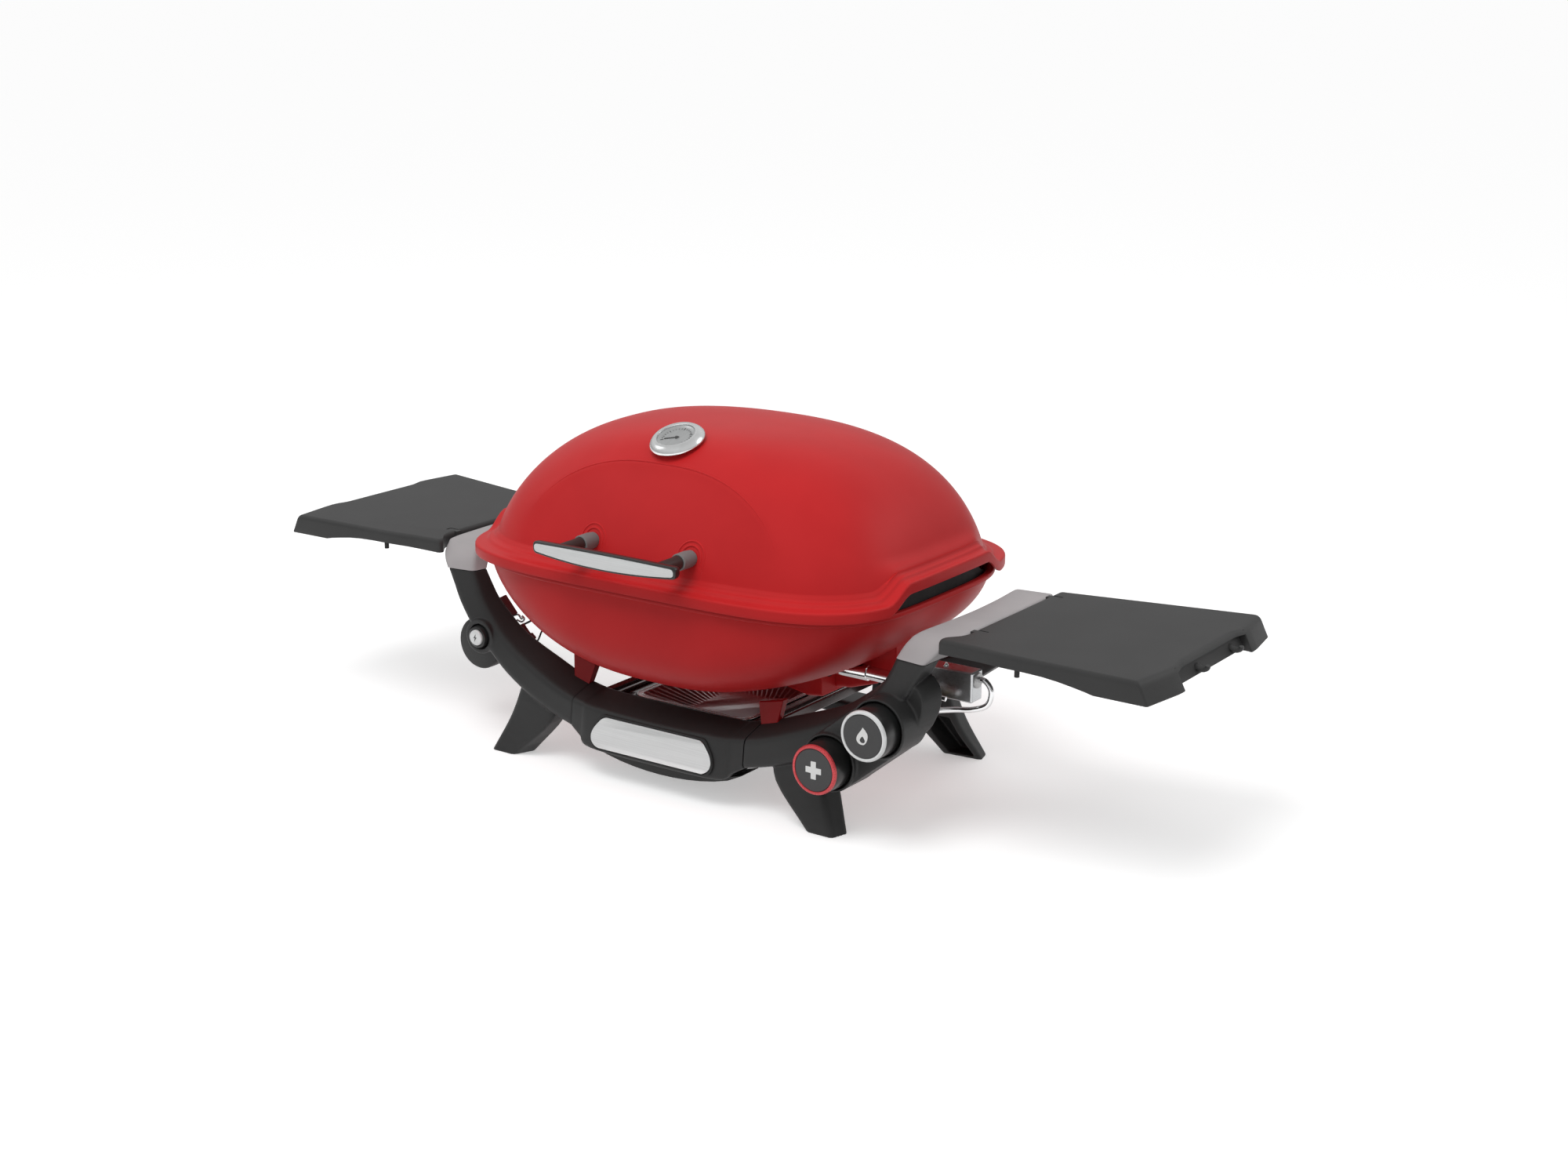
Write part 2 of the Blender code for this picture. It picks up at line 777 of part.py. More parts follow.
def leg_bmesh(x=1.0, y=1.0):
    """The flared foot, from inside the arm down to the table top."""
    top = [(0.1700, -0.1600, 0.0880), (0.2300, -0.1560, 0.1020), (0.2320, -0.1290, 0.1020)]
    top.append((0.1700, -0.1330, 0.0880))
    middle = [(0.1840, -0.1695, 0.0500), (0.2450, -0.1660, 0.0500), (0.2500, -0.1330, 0.0500)]
    middle.append((0.1790, -0.1310, 0.0500))
    base = [(0.2305, -0.1795, 0.0), (0.2675, -0.1800, 0.0), (0.2750, -0.1530, 0.0)]
    base.append((0.2170, -0.1480, 0.0))
    rings = [mirrored(rounded(ring, 0.007), x, y) for ring in (base, middle, top)]
    return loft_bmesh(rings)


def leg_pocket_bmesh(x=1.0, y=1.0):
    """The hollow of a foot, open towards the middle of the grill."""
    top = [(0.1930, -0.1590, 0.0560), (0.2360, -0.1575, 0.0560), (0.2390, -0.1000, 0.0560)]
    top.append((0.1890, -0.1000, 0.0560))
    base = [(0.2325, -0.1735, FOOT_FLOOR), (0.2615, -0.1735, FOOT_FLOOR)]
    base += [(0.2690, -0.1200, FOOT_FLOOR), (0.2225, -0.1200, FOOT_FLOOR)]
    return loft_bmesh([mirrored(base, x, y), mirrored(top, x, y)])


def make_arm(name, x, y):
    arm = loft(name, [arm_section(station, x, y) for station in ARM_STATIONS], CHARCOAL)
    join(arm, name + "_leg", leg_bmesh(x, y))
    cut(arm, name + "_leg_pocket", leg_pocket_bmesh(x, y))
    return arm


def add_control_cups(arm):
    """The moulded housing of the two knobs on the right front arm."""
    spots = ((MAIN_KNOB_X, MAIN_KNOB_Z, "main"), (SMALL_KNOB_X, SMALL_KNOB_Z, "small"))
    for x, z, label in spots:
        body = cylinder_bmesh((x, CUP_FRONT_Y, z), (x, CUP_BACK_Y, z), CUP_RADIUS, sides=32)
        join(arm, f"{label}_cup", body)
    along = Vector((MAIN_KNOB_X - SMALL_KNOB_X, 0.0, MAIN_KNOB_Z - SMALL_KNOB_Z)).normalized()
    across = Vector((along.z, 0.0, -along.x)) * (CUP_RADIUS - 0.0004)
    ends = (Vector((SMALL_KNOB_X, 0.0, SMALL_KNOB_Z)), Vector((MAIN_KNOB_X, 0.0, MAIN_KNOB_Z)))
    bridge = [ends[0] - across, ends[0] + across, ends[1] + across, ends[1] - across]
    rings = [[point + Vector((0.0, y, 0.0)) for point in bridge] for y in (-0.1650, CUP_BACK_Y + 0.0006)]
    join(arm, "cup_bridge", loft_bmesh(rings))
    front = [(0.3300, 0.1720), (0.3440, 0.1300), (0.3570, 0.1410), (0.3640, 0.1600)]
    front += [(0.3655, 0.1760), (0.3610, 0.1870), (0.3500, 0.1970)]
    back = [(0.3300, 0.1750), (0.3490, 0.1240), (0.3630, 0.1390), (0.3730, 0.1600)]
    back += [(0.3765, 0.1780), (0.3740, 0.1900), (0.3630, 0.2050)]
    rings = [[(x, y, z) for x, z in outline] for outline, y in ((front, -0.1400), (back, -0.1130))]
    join(arm, "cup_shoulder", loft_bmesh(rings))
    for x, z, label in spots:
        pocket = cylinder_bmesh((x, -0.22, z), (x, CUP_FLOOR_Y, z), KNOB_RADIUS + 0.0024, sides=32)
        cut(arm, f"{label}_cup_pocket", pocket)
        bore = cylinder_bmesh((x, -0.18, z), (x, -0.05, z), 0.0055, sides=HOLE_SIDES)
        cut(arm, f"{label}_stem_bore", bore)


def add_igniter_seat(arm):
    """The round seat of the igniter's button, through the left front arm."""
    boss = cylinder_bmesh((BUTTON_X, -0.1560, BUTTON_Z), (BUTTON_X, -0.1200, BUTTON_Z), 0.0230, sides=28)
    join(arm, "igniter_boss", boss)
    seat = cylinder_bmesh((BUTTON_X, -0.2000, BUTTON_Z), (BUTTON_X, -0.1480, BUTTON_Z), 0.0165, sides=28)
    cut(arm, "igniter_seat", seat)
    bore = cylinder_bmesh((BUTTON_X, -0.2000, BUTTON_Z), (BUTTON_X, -0.0900, BUTTON_Z), 0.0062, sides=16)
    cut(arm, "igniter_bore", bore)


# Half of a rail: front inner, front outer, back outer and back inner corners, from its seam to mid rail.
RAIL_STATIONS = (
    (
        (0.3265, crease_y(0.3265), CAP_SEAM_Z + GAP),
        (0.3692, outer_edge_y(0.3692), CAP_SEAM_Z + GAP),
        (0.3692, inner_back_y(0.3229) + 0.008, CAP_SEAM_Z + GAP),
        (0.3229, inner_back_y(0.3229), CAP_SEAM_Z + GAP),
    ),
    (
        (0.3315, -0.1310, 0.2360),
        (0.3775, -0.1400, 0.2310),
        (0.3800, -0.1020, 0.2262),
        (0.3270, -0.1090, 0.2262),
    ),
    (
        (0.3345, -0.1240, 0.2430),
        (0.3840, -0.1330, 0.2400),
        (0.3860, -0.0960, 0.2290),
        (0.3310, -0.1030, 0.2290),
    ),
    (
        (0.3375, -0.1165, 0.2478),
        (0.3895, -0.1205, 0.2482),
        (0.3895, -0.0910, 0.2320),
        (0.3340, -0.0960, 0.2315),
    ),
    (
        (0.3430, -0.1000, 0.2518),
        (0.3950, -0.1050, 0.2518),
        (0.3935, -0.0850, 0.2338),
        (0.3390, -0.0860, 0.2338),
    ),
    (
        (0.3480, -0.0500, RAIL_TOP),
        (0.3968, -0.0500, RAIL_TOP),
        (0.3960, -0.0500, 0.2340),
        (0.3460, -0.0500, 0.2340),
    ),
)


def make_rail(name, x):
    """The light grey cap and rail that joins the front and back arms over one end."""
    middle = (
        (0.3495, 0.0, RAIL_TOP),
        (0.3975, 0.0, RAIL_TOP),
        (0.3968, 0.0, RAIL_UNDERSIDE),
        (0.3475, 0.0, RAIL_UNDERSIDE),
    )
    rings = []
    for y, half in ((1, (*RAIL_STATIONS, middle)), (-1, RAIL_STATIONS[::-1])):
        for corners in half:
            rings.append(mirrored(rounded(corners, [0.006, 0.006, 0.003, 0.004]), x, y))
    rail = loft(name, rings, LIGHT_GREY)
    for y in (-TABLE_HINGE_Y, TABLE_HINGE_Y):
        tag = "front" if y < 0 else "back"
        low_x, high_x = sorted((x * 0.3820, x * 0.4120))
        block = box_bmesh((low_x, y - LUG_HALF, 0.2452), (high_x, y + LUG_HALF, 0.2546))
        join(rail, f"{name}_lug_{tag}", block)
        bore = cylinder_bmesh(
            (x * TABLE_PIVOT_X, y - 0.02, TABLE_PIVOT_Z),
            (x * TABLE_PIVOT_X, y + 0.02, TABLE_PIVOT_Z),
            0.0018,
            sides=12,
        )
        cut(rail, f"{name}_bore_{tag}", bore)
    return rail


# The middle cradle piece: x, crease y and z, lower front y and z, back y, its top z and lower z.
FRONT_STATIONS = (
    (0.1340, -0.1706, 0.0932, -0.1754, 0.0560, -0.1260, 0.0975, 0.0560),
    (0.1180, -0.1722, 0.0917, -0.1790, 0.0470, -0.1250, 0.0945, 0.0460),
    (0.0980, -0.1740, 0.0900, -0.1845, 0.0370, -0.1230, 0.0930, 0.0380),
    (0.0, -0.1755, 0.0885, -0.1870, 0.0360, -0.1230, 0.0930, 0.0370),
)
BACK_STATIONS = (
    (0.1340, 0.1706, 0.0932, 0.1754, 0.0560, 0.1260, 0.0975, 0.0560),
    (0.1250, 0.1712, 0.0870, 0.1750, 0.0480, 0.1250, 0.0880, 0.0480),
    (0.1130, 0.1720, 0.0530, 0.1720, 0.0330, 0.1240, 0.0530, 0.0330),
    (0.0, 0.1730, 0.0520, 0.1730, 0.0320, 0.1250, 0.0520, 0.0320),
)


def cradle_ring(station, x):
    sx, front, top, low_y, low_z, back, back_top, back_low = station
    corners = [
        (x * sx, front, top),
        (x * sx, low_y, low_z),
        (x * sx, back, back_low),
        (x * sx, back, back_top),
    ]
    return rounded(corners, [0.006, 0.007, 0.005, 0.007])


def make_cradle(name, stations):
    right = [cradle_ring(station, 1.0) for station in stations]
    left = [cradle_ring(station, -1.0) for station in reversed(stations[:-1])]
    return loft(name, right + left, CHARCOAL)


def plate_outline(inset):
    """Half width x and height along the sloping front face, for the name plate."""
    half = [(0.0775, 0.0820), (0.0900, 0.0670), (0.0935, 0.0575), (0.0915, 0.0490), (0.0840, 0.0430)]
    points = [(x, z) for x, z in half] + [(-x, z) for x, z in reversed(half)]
    centre_z = 0.0625
    return [
        (x - math.copysign(inset, x), centre_z + (z - centre_z) * (1 - inset / 0.02)) for x, z in points
    ]


def front_face_y(z):
    """The front face of the middle cradle piece leans out towards its foot."""
    return -0.1755 - (0.0885 - z) * (0.1870 - 0.1755) / (0.0885 - 0.0360)


def make_name_plate():
    rings = []
    for offset, inset in ((-0.0005, 0.0), (-0.0014, 0.0), (-0.0020, 0.0007)):
        rings.append([(x, front_face_y(z) + offset, z) for x, z in plate_outline(inset)])
    return loft("name_plate", rings, BRUSHED)


def make_lower_lip():
    """The curved guard under the middle of the front cradle."""
    rings = []
    for y in (-0.1650, -0.1300):
        lower = []
        upper = []
        for i in range(13):
            x = -0.126 + 0.252 * i / 12
            fullness = 1 - (x / 0.126) ** 2
            upper.append((x, y, 0.0440 - 0.0095 * min(1.0, fullness * 2.2)))
            lower.append((x, y, 0.0430 - 0.0250 * fullness**0.75))
        rings.append(lower + list(reversed(upper)))
    return loft("cradle_lower_lip", rings, CHARCOAL)


def make_cookbox_brackets():
    """Four enamelled feet that carry the cookbox on the cradle."""
    pieces = []
    for y, row in ((-1, "front"), (1, "back")):
        for x, side in ((-1, "left"), (1, "right")):
            top = [(0.1640, -0.1200, 0.1380), (0.1280, -0.1200, 0.1300), (0.1280, -0.1320, 0.1300)]
            top.append((0.1640, -0.1320, 0.1380))
            low = [(0.1590, -0.1270, 0.1058), (0.1360, -0.1270, 0.1008), (0.1360, -0.1380, 0.1000)]
            low.append((0.1590, -0.1380, 0.1050))
            bracket = loft(
                f"cookbox_bracket_{row}_{side}", [mirrored(low, x, -y), mirrored(top, x, -y)], RED
            )
            pieces.append(bracket)
    return pieces


# ---------------------------------------------------------------- side tables
TABLE_CORNERS = (
    (TABLE_INNER_X, -0.1080),
    (0.3960, -0.1200),
    (0.3905, -0.1370),
    (0.4300, -0.1425),
    (0.4710, -0.1480),
    (0.6395, -0.1512),
    (0.6485, -0.0920),
    (0.6490, -0.0780),
    (0.6440, -0.0600),
    (0.6440, 0.0780),
    (0.6490, 0.0960),
    (0.6485, 0.1100),
    (0.6395, 0.1620),
    (TABLE_INNER_X, 0.1170),
)


def table_outline(shrink, z, x, flare=0.0):
    """The table's plan, pulled in by shrink from its edges, with its outer end flared."""
    centre = Vector((0.53, 0.005))
    ring = []
    for px, py in TABLE_CORNERS:
        dx = px - centre.x
        dy = py - centre.y
        reach = px + flare * smoothstep(0.60, 0.64, px)
        ring.append(
            (
                x * (reach - math.copysign(min(shrink, abs(dx)), dx)),
                py - math.copysign(min(shrink, abs(dy)), dy),
                z,
            )
        )
    return ring


def make_table(name, x):
    """A shallow moulded tray turned upside down, with a skirt that is deeper at its outer end."""
    rings = [
        table_outline(0.0, 0.2300, x, TABLE_FLARE),
        table_outline(0.0, TABLE_TOP - 0.003, x, 0.001),
        table_outline(0.003, TABLE_TOP, x),
    ]
    table = loft(name, rings, TABLE_GREY)
    cavity = []
    for z, flare in ((0.2260, TABLE_FLARE + 0.0018), (TABLE_TOP - TABLE_PLATE - 0.0005, 0.001)):
        ring = []
        for px, py, pz in table_outline(0.004, z, 1.0, flare):
            ring.append((x * max(px, 0.4190), py, pz))
        cavity.append(ring)
    cut(table, name + "_cavity", loft_bmesh(cavity))
    under = [(0.37, 0.2200), (0.5950, 0.2200), (0.5750, 0.2340), (0.5350, 0.2430), (0.37, 0.2430)]
    sweep = [[(x * px, y, pz) for px, pz in under] for y in (-0.20, 0.20)]
    cut(table, name + "_skirt_line", loft_bmesh(sweep))
    grip = [(0.635, -0.076), (0.670, -0.076), (0.670, 0.094), (0.635, 0.094)]
    grip_rings = [[(x * px, py, z) for px, py in grip] for z in (0.2200, 0.2420)]
    cut(table, name + "_end_recess", loft_bmesh(grip_rings))
    for y in (-TABLE_HINGE_Y, TABLE_HINGE_Y):
        tag = "front" if y < 0 else "back"
        low_x, high_x = sorted((x * 0.38, x * 0.4155))
        notch = box_bmesh((low_x, y - NOTCH_HALF, 0.22), (high_x, y + NOTCH_HALF, 0.27))
        cut(table, f"{name}_notch_{tag}", notch)
    reach = TABLE_HINGE_Y + 0.0170
    bore_ends = [(x * TABLE_PIVOT_X, y, TABLE_PIVOT_Z) for y in (-reach, reach)]
    cut(table, name + "_bore", cylinder_bmesh(*bore_ends, 0.0018, sides=12))
    for y, tag in ((-0.0200, "front"), (0.0680, "back")):
        low_x, high_x = sorted((x * 0.6380, x * 0.6480))
        hook = box_bmesh((low_x, y - 0.005, 0.2330), (high_x, y + 0.005, 0.2440))
        join(table, f"{name}_hook_{tag}", hook)
    peg = cylinder_bmesh((x * 0.485, -0.1370, 0.2290), (x * 0.485, -0.1370, 0.2540), 0.0030, sides=12)
    join(table, name + "_peg", peg)
    return placed(table, (x * TABLE_PIVOT_X, 0.0, TABLE_PIVOT_Z))


def make_table_pins():
    reach = TABLE_HINGE_Y + 0.0155
    for x, side in ((-1, "left"), (1, "right")):
        ends = [(x * TABLE_PIVOT_X, y, TABLE_PIVOT_Z) for y in (-reach, reach)]
        cylinder(f"table_hinge_pin_{side}", *ends, 0.0014, STEEL, sides=12)


# ---------------------------------------------------------------- controls
def face_matrix(x, y, z):
    """Turns a solid's +Z towards the front, at this place."""
    return Matrix.Translation((x, y, z)) @ Matrix.Rotation(math.radians(90), 4, "X")


def make_knob(label, x, z, ring_material):
    knob = turned(
        f"{label}_knob",
        [
            (0.0, 0.0),
            (0.0262, 0.0),
            (0.0262, -0.0030),
            (KNOB_RADIUS - 0.0008, -0.0030),
            (KNOB_RADIUS, -0.0045),
            (KNOB_RADIUS + 0.0006, -KNOB_LENGTH),
            (0.0270, -KNOB_LENGTH),
            (0.0270, -KNOB_LENGTH + 0.0080),
            (0.0, -KNOB_LENGTH + 0.0080),
        ],
        BLACK,
        steps=32,
        matrix=face_matrix(x, KNOB_FACE_Y, z),
    )
    ring = turned(
        f"{label}_knob_ring",
        [
            (0.0265, 0.0006),
            (0.0280, 0.0010),
            (0.0300, 0.0000),
            (KNOB_RADIUS, -0.0027),
            (0.0265, -0.0027),
            (0.0265, 0.0006),
        ],
        ring_material,
        steps=32,
        matrix=face_matrix(x, KNOB_FACE_Y, z),
    )
    stem = cylinder(
        f"{label}_valve_stem",
        (x, KNOB_FACE_Y + KNOB_LENGTH - 0.0080 + GAP, z),
        (x, -0.0850, z),
        STEM_RADIUS,
        BRASS,
        sides=HOLE_SIDES,
    )
    body_bm = cylinder_bmesh((x, -0.0900, z), (x, -0.0700, z), 0.0110, sides=20)
    valve = finish_mesh(f"{label}_valve_body", body_bm, BRASS)
    cut(
        valve,
        f"{label}_valve_bore",
        cylinder_bmesh((x, -0.0950, z), (x, -0.0780, z), 0.0045, sides=HOLE_SIDES),
    )
    knob_pivot = pivot_empty(f"{label}_knob_axis", (x, KNOB_FACE_Y, z))
    hang([knob, ring], knob_pivot)
    return [knob, ring, stem, valve]


def make_igniter():
    disc = cylinder(
        "igniter_housing",
        (-0.3510, -0.1080, 0.1115),
        (-0.3510, -0.0880, 0.1115),
        0.0350,
        CHARCOAL,
        sides=28,
        bevel=0.003,
    )
    bezel = turned(
        "igniter_bezel",
        [
            (0.0112, 0.0),
            (0.0145, -0.0020),
            (0.0155, -0.0115),
            (0.0112, -0.0115),
            (0.0112, 0.0),
        ],
        BLACK,
        steps=24,
        matrix=face_matrix(BUTTON_X, BUTTON_FACE_Y + 0.0030, BUTTON_Z),
    )
    button = turned(
        "igniter_button",
        [
            (0.0, 0.0),
            (0.0098, 0.0),
            (0.0105, -0.0008),
            (0.0105, -0.0080),
            (0.0045, -0.0080),
            (0.0045, -0.0300),
            (0.0, -0.0300),
        ],
        CHROME,
        steps=24,
        matrix=face_matrix(BUTTON_X, BUTTON_FACE_Y, BUTTON_Z),
    )
    electrode = cylinder(
        "igniter_electrode", (-0.2050, -0.03, TUBE_Z), (-0.2620, -0.03, TUBE_Z), 0.0045, CERAMIC, sides=12
    )
    wire = tube(
        "igniter_wire",
        smooth_path(
            [
                (-0.2623, -0.03, TUBE_Z),
                (-0.2760, -0.0330, 0.1600),
                (-0.2960, -0.0460, 0.1440),
                (-0.3180, -0.0640, 0.1300),
                (-0.3300, -0.0780, 0.1240),
                (-0.3330, -0.0876, 0.1230),
            ],
            4,
        ),
        0.0014,
        BLACK,
    )
    return [disc, bezel, button, electrode, wire]


def make_gas_train():
    manifold_bm = box_bmesh((0.3185, -0.0670, 0.1590), (0.3870, -0.0430, 0.1960))
    manifold = finish_mesh("manifold_box", manifold_bm, STEEL)
    add_bevel(manifold, 0.0015, 1)
    supply = tube(
        "gas_supply_tube",
        smooth_path(
            [
                (0.3875, -0.0550, 0.1860),
                (0.3980, -0.0550, 0.1855),
                (0.4060, -0.0550, 0.1745),
                (0.4020, -0.0560, 0.1580),
                (0.3860, -0.0590, 0.1500),
                (0.3620, -0.0640, 0.1465),
                (0.3370, -0.0790, 0.1442),
            ],
            4,
        ),
        0.0034,
        CHROME,
    )
    jumper = tube(
        "gas_jumper_tube",
        smooth_path(
            [
                (SMALL_KNOB_X, -0.0697, SMALL_KNOB_Z),
                (SMALL_KNOB_X, -0.0560, SMALL_KNOB_Z),
                (0.2660, -0.0480, 0.0980),
                (0.2960, -0.0470, 0.1200),
                (0.3130, -0.0540, 0.1380),
                (MAIN_KNOB_X, -0.0660, MAIN_KNOB_Z),
            ],
            4,
        ),
        0.0030,
        CHROME,
    )
    inlet = turned(
        "gas_inlet_fitting",
        [(0.0, 0.0300), (0.0070, 0.0300), (0.0070, 0.0140), (0.0105, 0.0140), (0.0105, 0.0), (0.0, 0.0)],
        BRASS,
        steps=16,
        matrix=Matrix.Translation((0.3560, -0.0427, 0.1760)) @ Matrix.Rotation(math.radians(-90), 4, "X"),
    )
    return [manifold, supply, jumper, inlet]


# ---------------------------------------------------------------- catch pan
def pan_ring(half_width, half_length, z, corner=0.02):
    return rounded_loop(half_width, half_length, corner, z, per_corner=3)


def make_pan():
    top = PAN_TOP
    floor = PAN_TOP - PAN_DEPTH
    rings = [
        pan_ring(0.0700, 0.0670, floor),
        pan_ring(0.0800, 0.0770, floor + 0.004),
        pan_ring(0.0880, 0.0850, top - PAN_WALL),
        pan_ring(PAN_HALF_WIDTH + 0.006, PAN_HALF_LENGTH, top - PAN_WALL, 0.026),
        pan_ring(PAN_HALF_WIDTH + 0.006, PAN_HALF_LENGTH, top, 0.026),
        pan_ring(0.0866, 0.0836, top),
        pan_ring(0.0786, 0.0756, floor + 0.004 + PAN_WALL),
        pan_ring(0.0694, 0.0664, floor + PAN_WALL),
    ]
    pan = loft("catch_pan", rings, STEEL)
    liner_floor = floor + PAN_WALL + 0.0005
    liner = [
        pan_ring(0.0680, 0.0650, liner_floor),
        pan_ring(0.0770, 0.0740, liner_floor + 0.004),
        pan_ring(0.0846, 0.0816, top + 0.0005),
        pan_ring(0.0900, 0.0870, top + 0.0005),
        pan_ring(0.0900, 0.0870, top + 0.0013),
        pan_ring(0.0838, 0.0808, top + 0.0013),
        pan_ring(0.0762, 0.0732, liner_floor + 0.0048),
        pan_ring(0.0676, 0.0646, liner_floor + 0.0008),
    ]
    foil = loft("foil_tray", liner, FOIL)
    rails = []
    for x, side in ((-1, "left"), (1, "right")):
        profile = [(0.0975, 0.0800), (0.0975, 0.0860), (0.1055, 0.0860), (0.1055, 0.0920)]
        profile += [(0.1110, 0.0920), (0.1110, 0.0800)]
        rail = loft(
            f"pan_rail_{side}",
            [[(x * px, y, pz) for px, pz in profile] for y in (-0.1225, 0.1220)],
            CHARCOAL,
        )
        rails.append(rail)
    return [pan, foil, *rails]


# ---------------------------------------------------------------- assembly
def move_origin():
    """Hangs every piece from one root and moves it, so that the origin is in the middle."""
    root = pivot_empty("grill_root", (0.0, 0.0, 0.0))
    for obj in [*GRILL.objects, *CUTTERS.objects]:
        if obj.parent is None and obj is not root:
            obj.parent = root
    root.location.y = ORIGIN_SHIFT


def build():
    lid_pieces = [make_lid(), *make_thermometer(), *make_handle()]
    lid_lugs, _ = make_lid_hinges()
    lid_pivot = pivot_empty("lid_hinge_axis", (0.0, HINGE_Y, HINGE_Z))
    hang(lid_pieces + lid_lugs, lid_pivot)
    make_cookbox()
    make_burners()
    make_grate("grate_left", -1)
    make_grate("grate_right", 1)
    left_arm = make_arm("left_front_arm", -1, 1)
    add_igniter_seat(left_arm)
    right_arm = make_arm("right_front_arm", 1, 1)
    add_control_cups(right_arm)
    make_arm("left_back_arm", -1, -1)
    make_arm("right_back_arm", 1, -1)
    make_rail("left_rail", -1)
    make_rail("right_rail", 1)
    make_cradle("front_cradle", FRONT_STATIONS)
    make_cradle("back_cradle", BACK_STATIONS)
    make_name_plate()
    make_lower_lip()
    make_cookbox_brackets()
    make_table("left_side_table", -1)
    make_table("right_side_table", 1)
    make_table_pins()
    make_knob("main", MAIN_KNOB_X, MAIN_KNOB_Z, WHITE_RING)
    make_knob("small", SMALL_KNOB_X, SMALL_KNOB_Z, RED_RING)
    make_igniter()
    make_gas_train()
    make_pan()
    move_origin()


build()
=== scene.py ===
"""The looks of the tabletop gas barbecue grill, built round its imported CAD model.

Metres, +Z up, in the frame of the CAD model. Shapes are described from the middle of the lid, and
add_piece() moves them to where the CAD lid is.
"""

import json
import math

import bmesh
import bpy
from mathutils import Matrix, Vector


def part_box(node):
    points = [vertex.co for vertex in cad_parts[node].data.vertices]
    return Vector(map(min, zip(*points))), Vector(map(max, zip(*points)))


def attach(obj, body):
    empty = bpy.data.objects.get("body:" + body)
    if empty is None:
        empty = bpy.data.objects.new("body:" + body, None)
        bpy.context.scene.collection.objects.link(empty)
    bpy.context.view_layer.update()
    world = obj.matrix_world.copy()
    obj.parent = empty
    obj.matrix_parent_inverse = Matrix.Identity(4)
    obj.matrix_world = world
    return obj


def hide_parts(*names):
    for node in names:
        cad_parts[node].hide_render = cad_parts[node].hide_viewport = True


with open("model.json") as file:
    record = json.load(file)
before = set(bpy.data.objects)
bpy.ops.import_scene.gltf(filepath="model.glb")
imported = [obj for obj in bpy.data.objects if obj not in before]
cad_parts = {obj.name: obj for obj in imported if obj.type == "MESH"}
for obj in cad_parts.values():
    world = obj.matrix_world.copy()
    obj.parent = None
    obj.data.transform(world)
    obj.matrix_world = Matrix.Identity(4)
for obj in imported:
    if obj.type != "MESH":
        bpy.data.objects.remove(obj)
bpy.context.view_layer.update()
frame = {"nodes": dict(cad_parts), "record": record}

# ---------------------------------------------------------------- places and sizes
LID_LOW, LID_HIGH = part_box("lid_shell")
# Shapes are described from the middle of the lid; the CAD frame has this point a little further back.
MIDDLE = Vector((0.0, (LID_LOW.y + LID_HIGH.y) / 2, 0.0))
LID_TOP = LID_HIGH.z
LID_LOWER_EDGE = LID_LOW.z
RIM_HALF_WIDTH = LID_HIGH.x
RIM_HALF_DEPTH = (LID_HIGH.y - LID_LOW.y) / 2
# How square the rim is in plan, where the dome starts, and how thick the lid's sheet is.
RIM_POWER = 4.2
DOME_BASE = 0.276
WALL = 0.003
BOWL_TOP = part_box("cookbox")[1].z
# The height where a front or back arm ends and its rail begins, and the joint between them.
CAP_SEAM_Z = 0.222
GAP = 0.0003


def middle_of(node):
    """The middle of a CAD node, from the middle of the lid."""
    low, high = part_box(node)
    return (low + high) / 2 - MIDDLE


# The side tables turn on pins along Y, in a lug of the rail at each end of the pin.
PIN_LOW, PIN_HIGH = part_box("table_hinge_pin_right")
PIN = middle_of("table_hinge_pin_right")
PIN_BORE = 0.0018
LUG_Y = (PIN_HIGH.y - PIN_LOW.y) / 2 - 0.0155
LUG_X = (0.3978, 0.4165)
LUG_HALF = 0.0042
NOTCH_X = (0.38, 0.4175)
NOTCH_HALF = 0.0047


# ---------------------------------------------------------------- mesh helpers
def smoothstep(low, high, value):
    t = min(1.0, max(0.0, (value - low) / (high - low)))
    return t * t * (3 - 2 * t)


def loft_bmesh(rings, closed=False, caps=True):
    """Quads between rings of the same number of points. A one-point ring is a pole."""
    bm = bmesh.new()
    rows = [[bm.verts.new(point) for point in ring] for ring in rings]
    count = max(len(row) for row in rows)
    pairs = list(zip(rows, rows[1:]))
    if closed:
        pairs.append((rows[-1], rows[0]))
    for low, high in pairs:
        for i in range(count):
            j = (i + 1) % count
            if len(low) == 1:
                bm.faces.new((low[0], high[j], high[i]))
            elif len(high) == 1:
                bm.faces.new((low[i], low[j], high[0]))
            else:
                bm.faces.new((low[i], low[j], high[j], high[i]))
    for end in (rows[0], rows[-1]):
        if caps and not closed and len(end) > 2:
            bm.faces.new(end)
    bmesh.ops.recalc_face_normals(bm, faces=bm.faces)
    return bm


def lathe_bmesh(profile, matrix, steps=64):
    """A solid turned about Z, from (radius, height) pairs that make a loop or end on the axis."""
    rings = []
    for radius, height in profile:
        count = 1 if radius < 1e-7 else steps
        ring = []
        for i in range(count):
            angle = 2 * math.pi * i / steps
            ring.append(matrix @ Vector((radius * math.cos(angle), radius * math.sin(angle), height)))
        rings.append(ring)
    return loft_bmesh(rings, closed=len(rings[0]) > 1 and len(rings[-1]) > 1, caps=False)


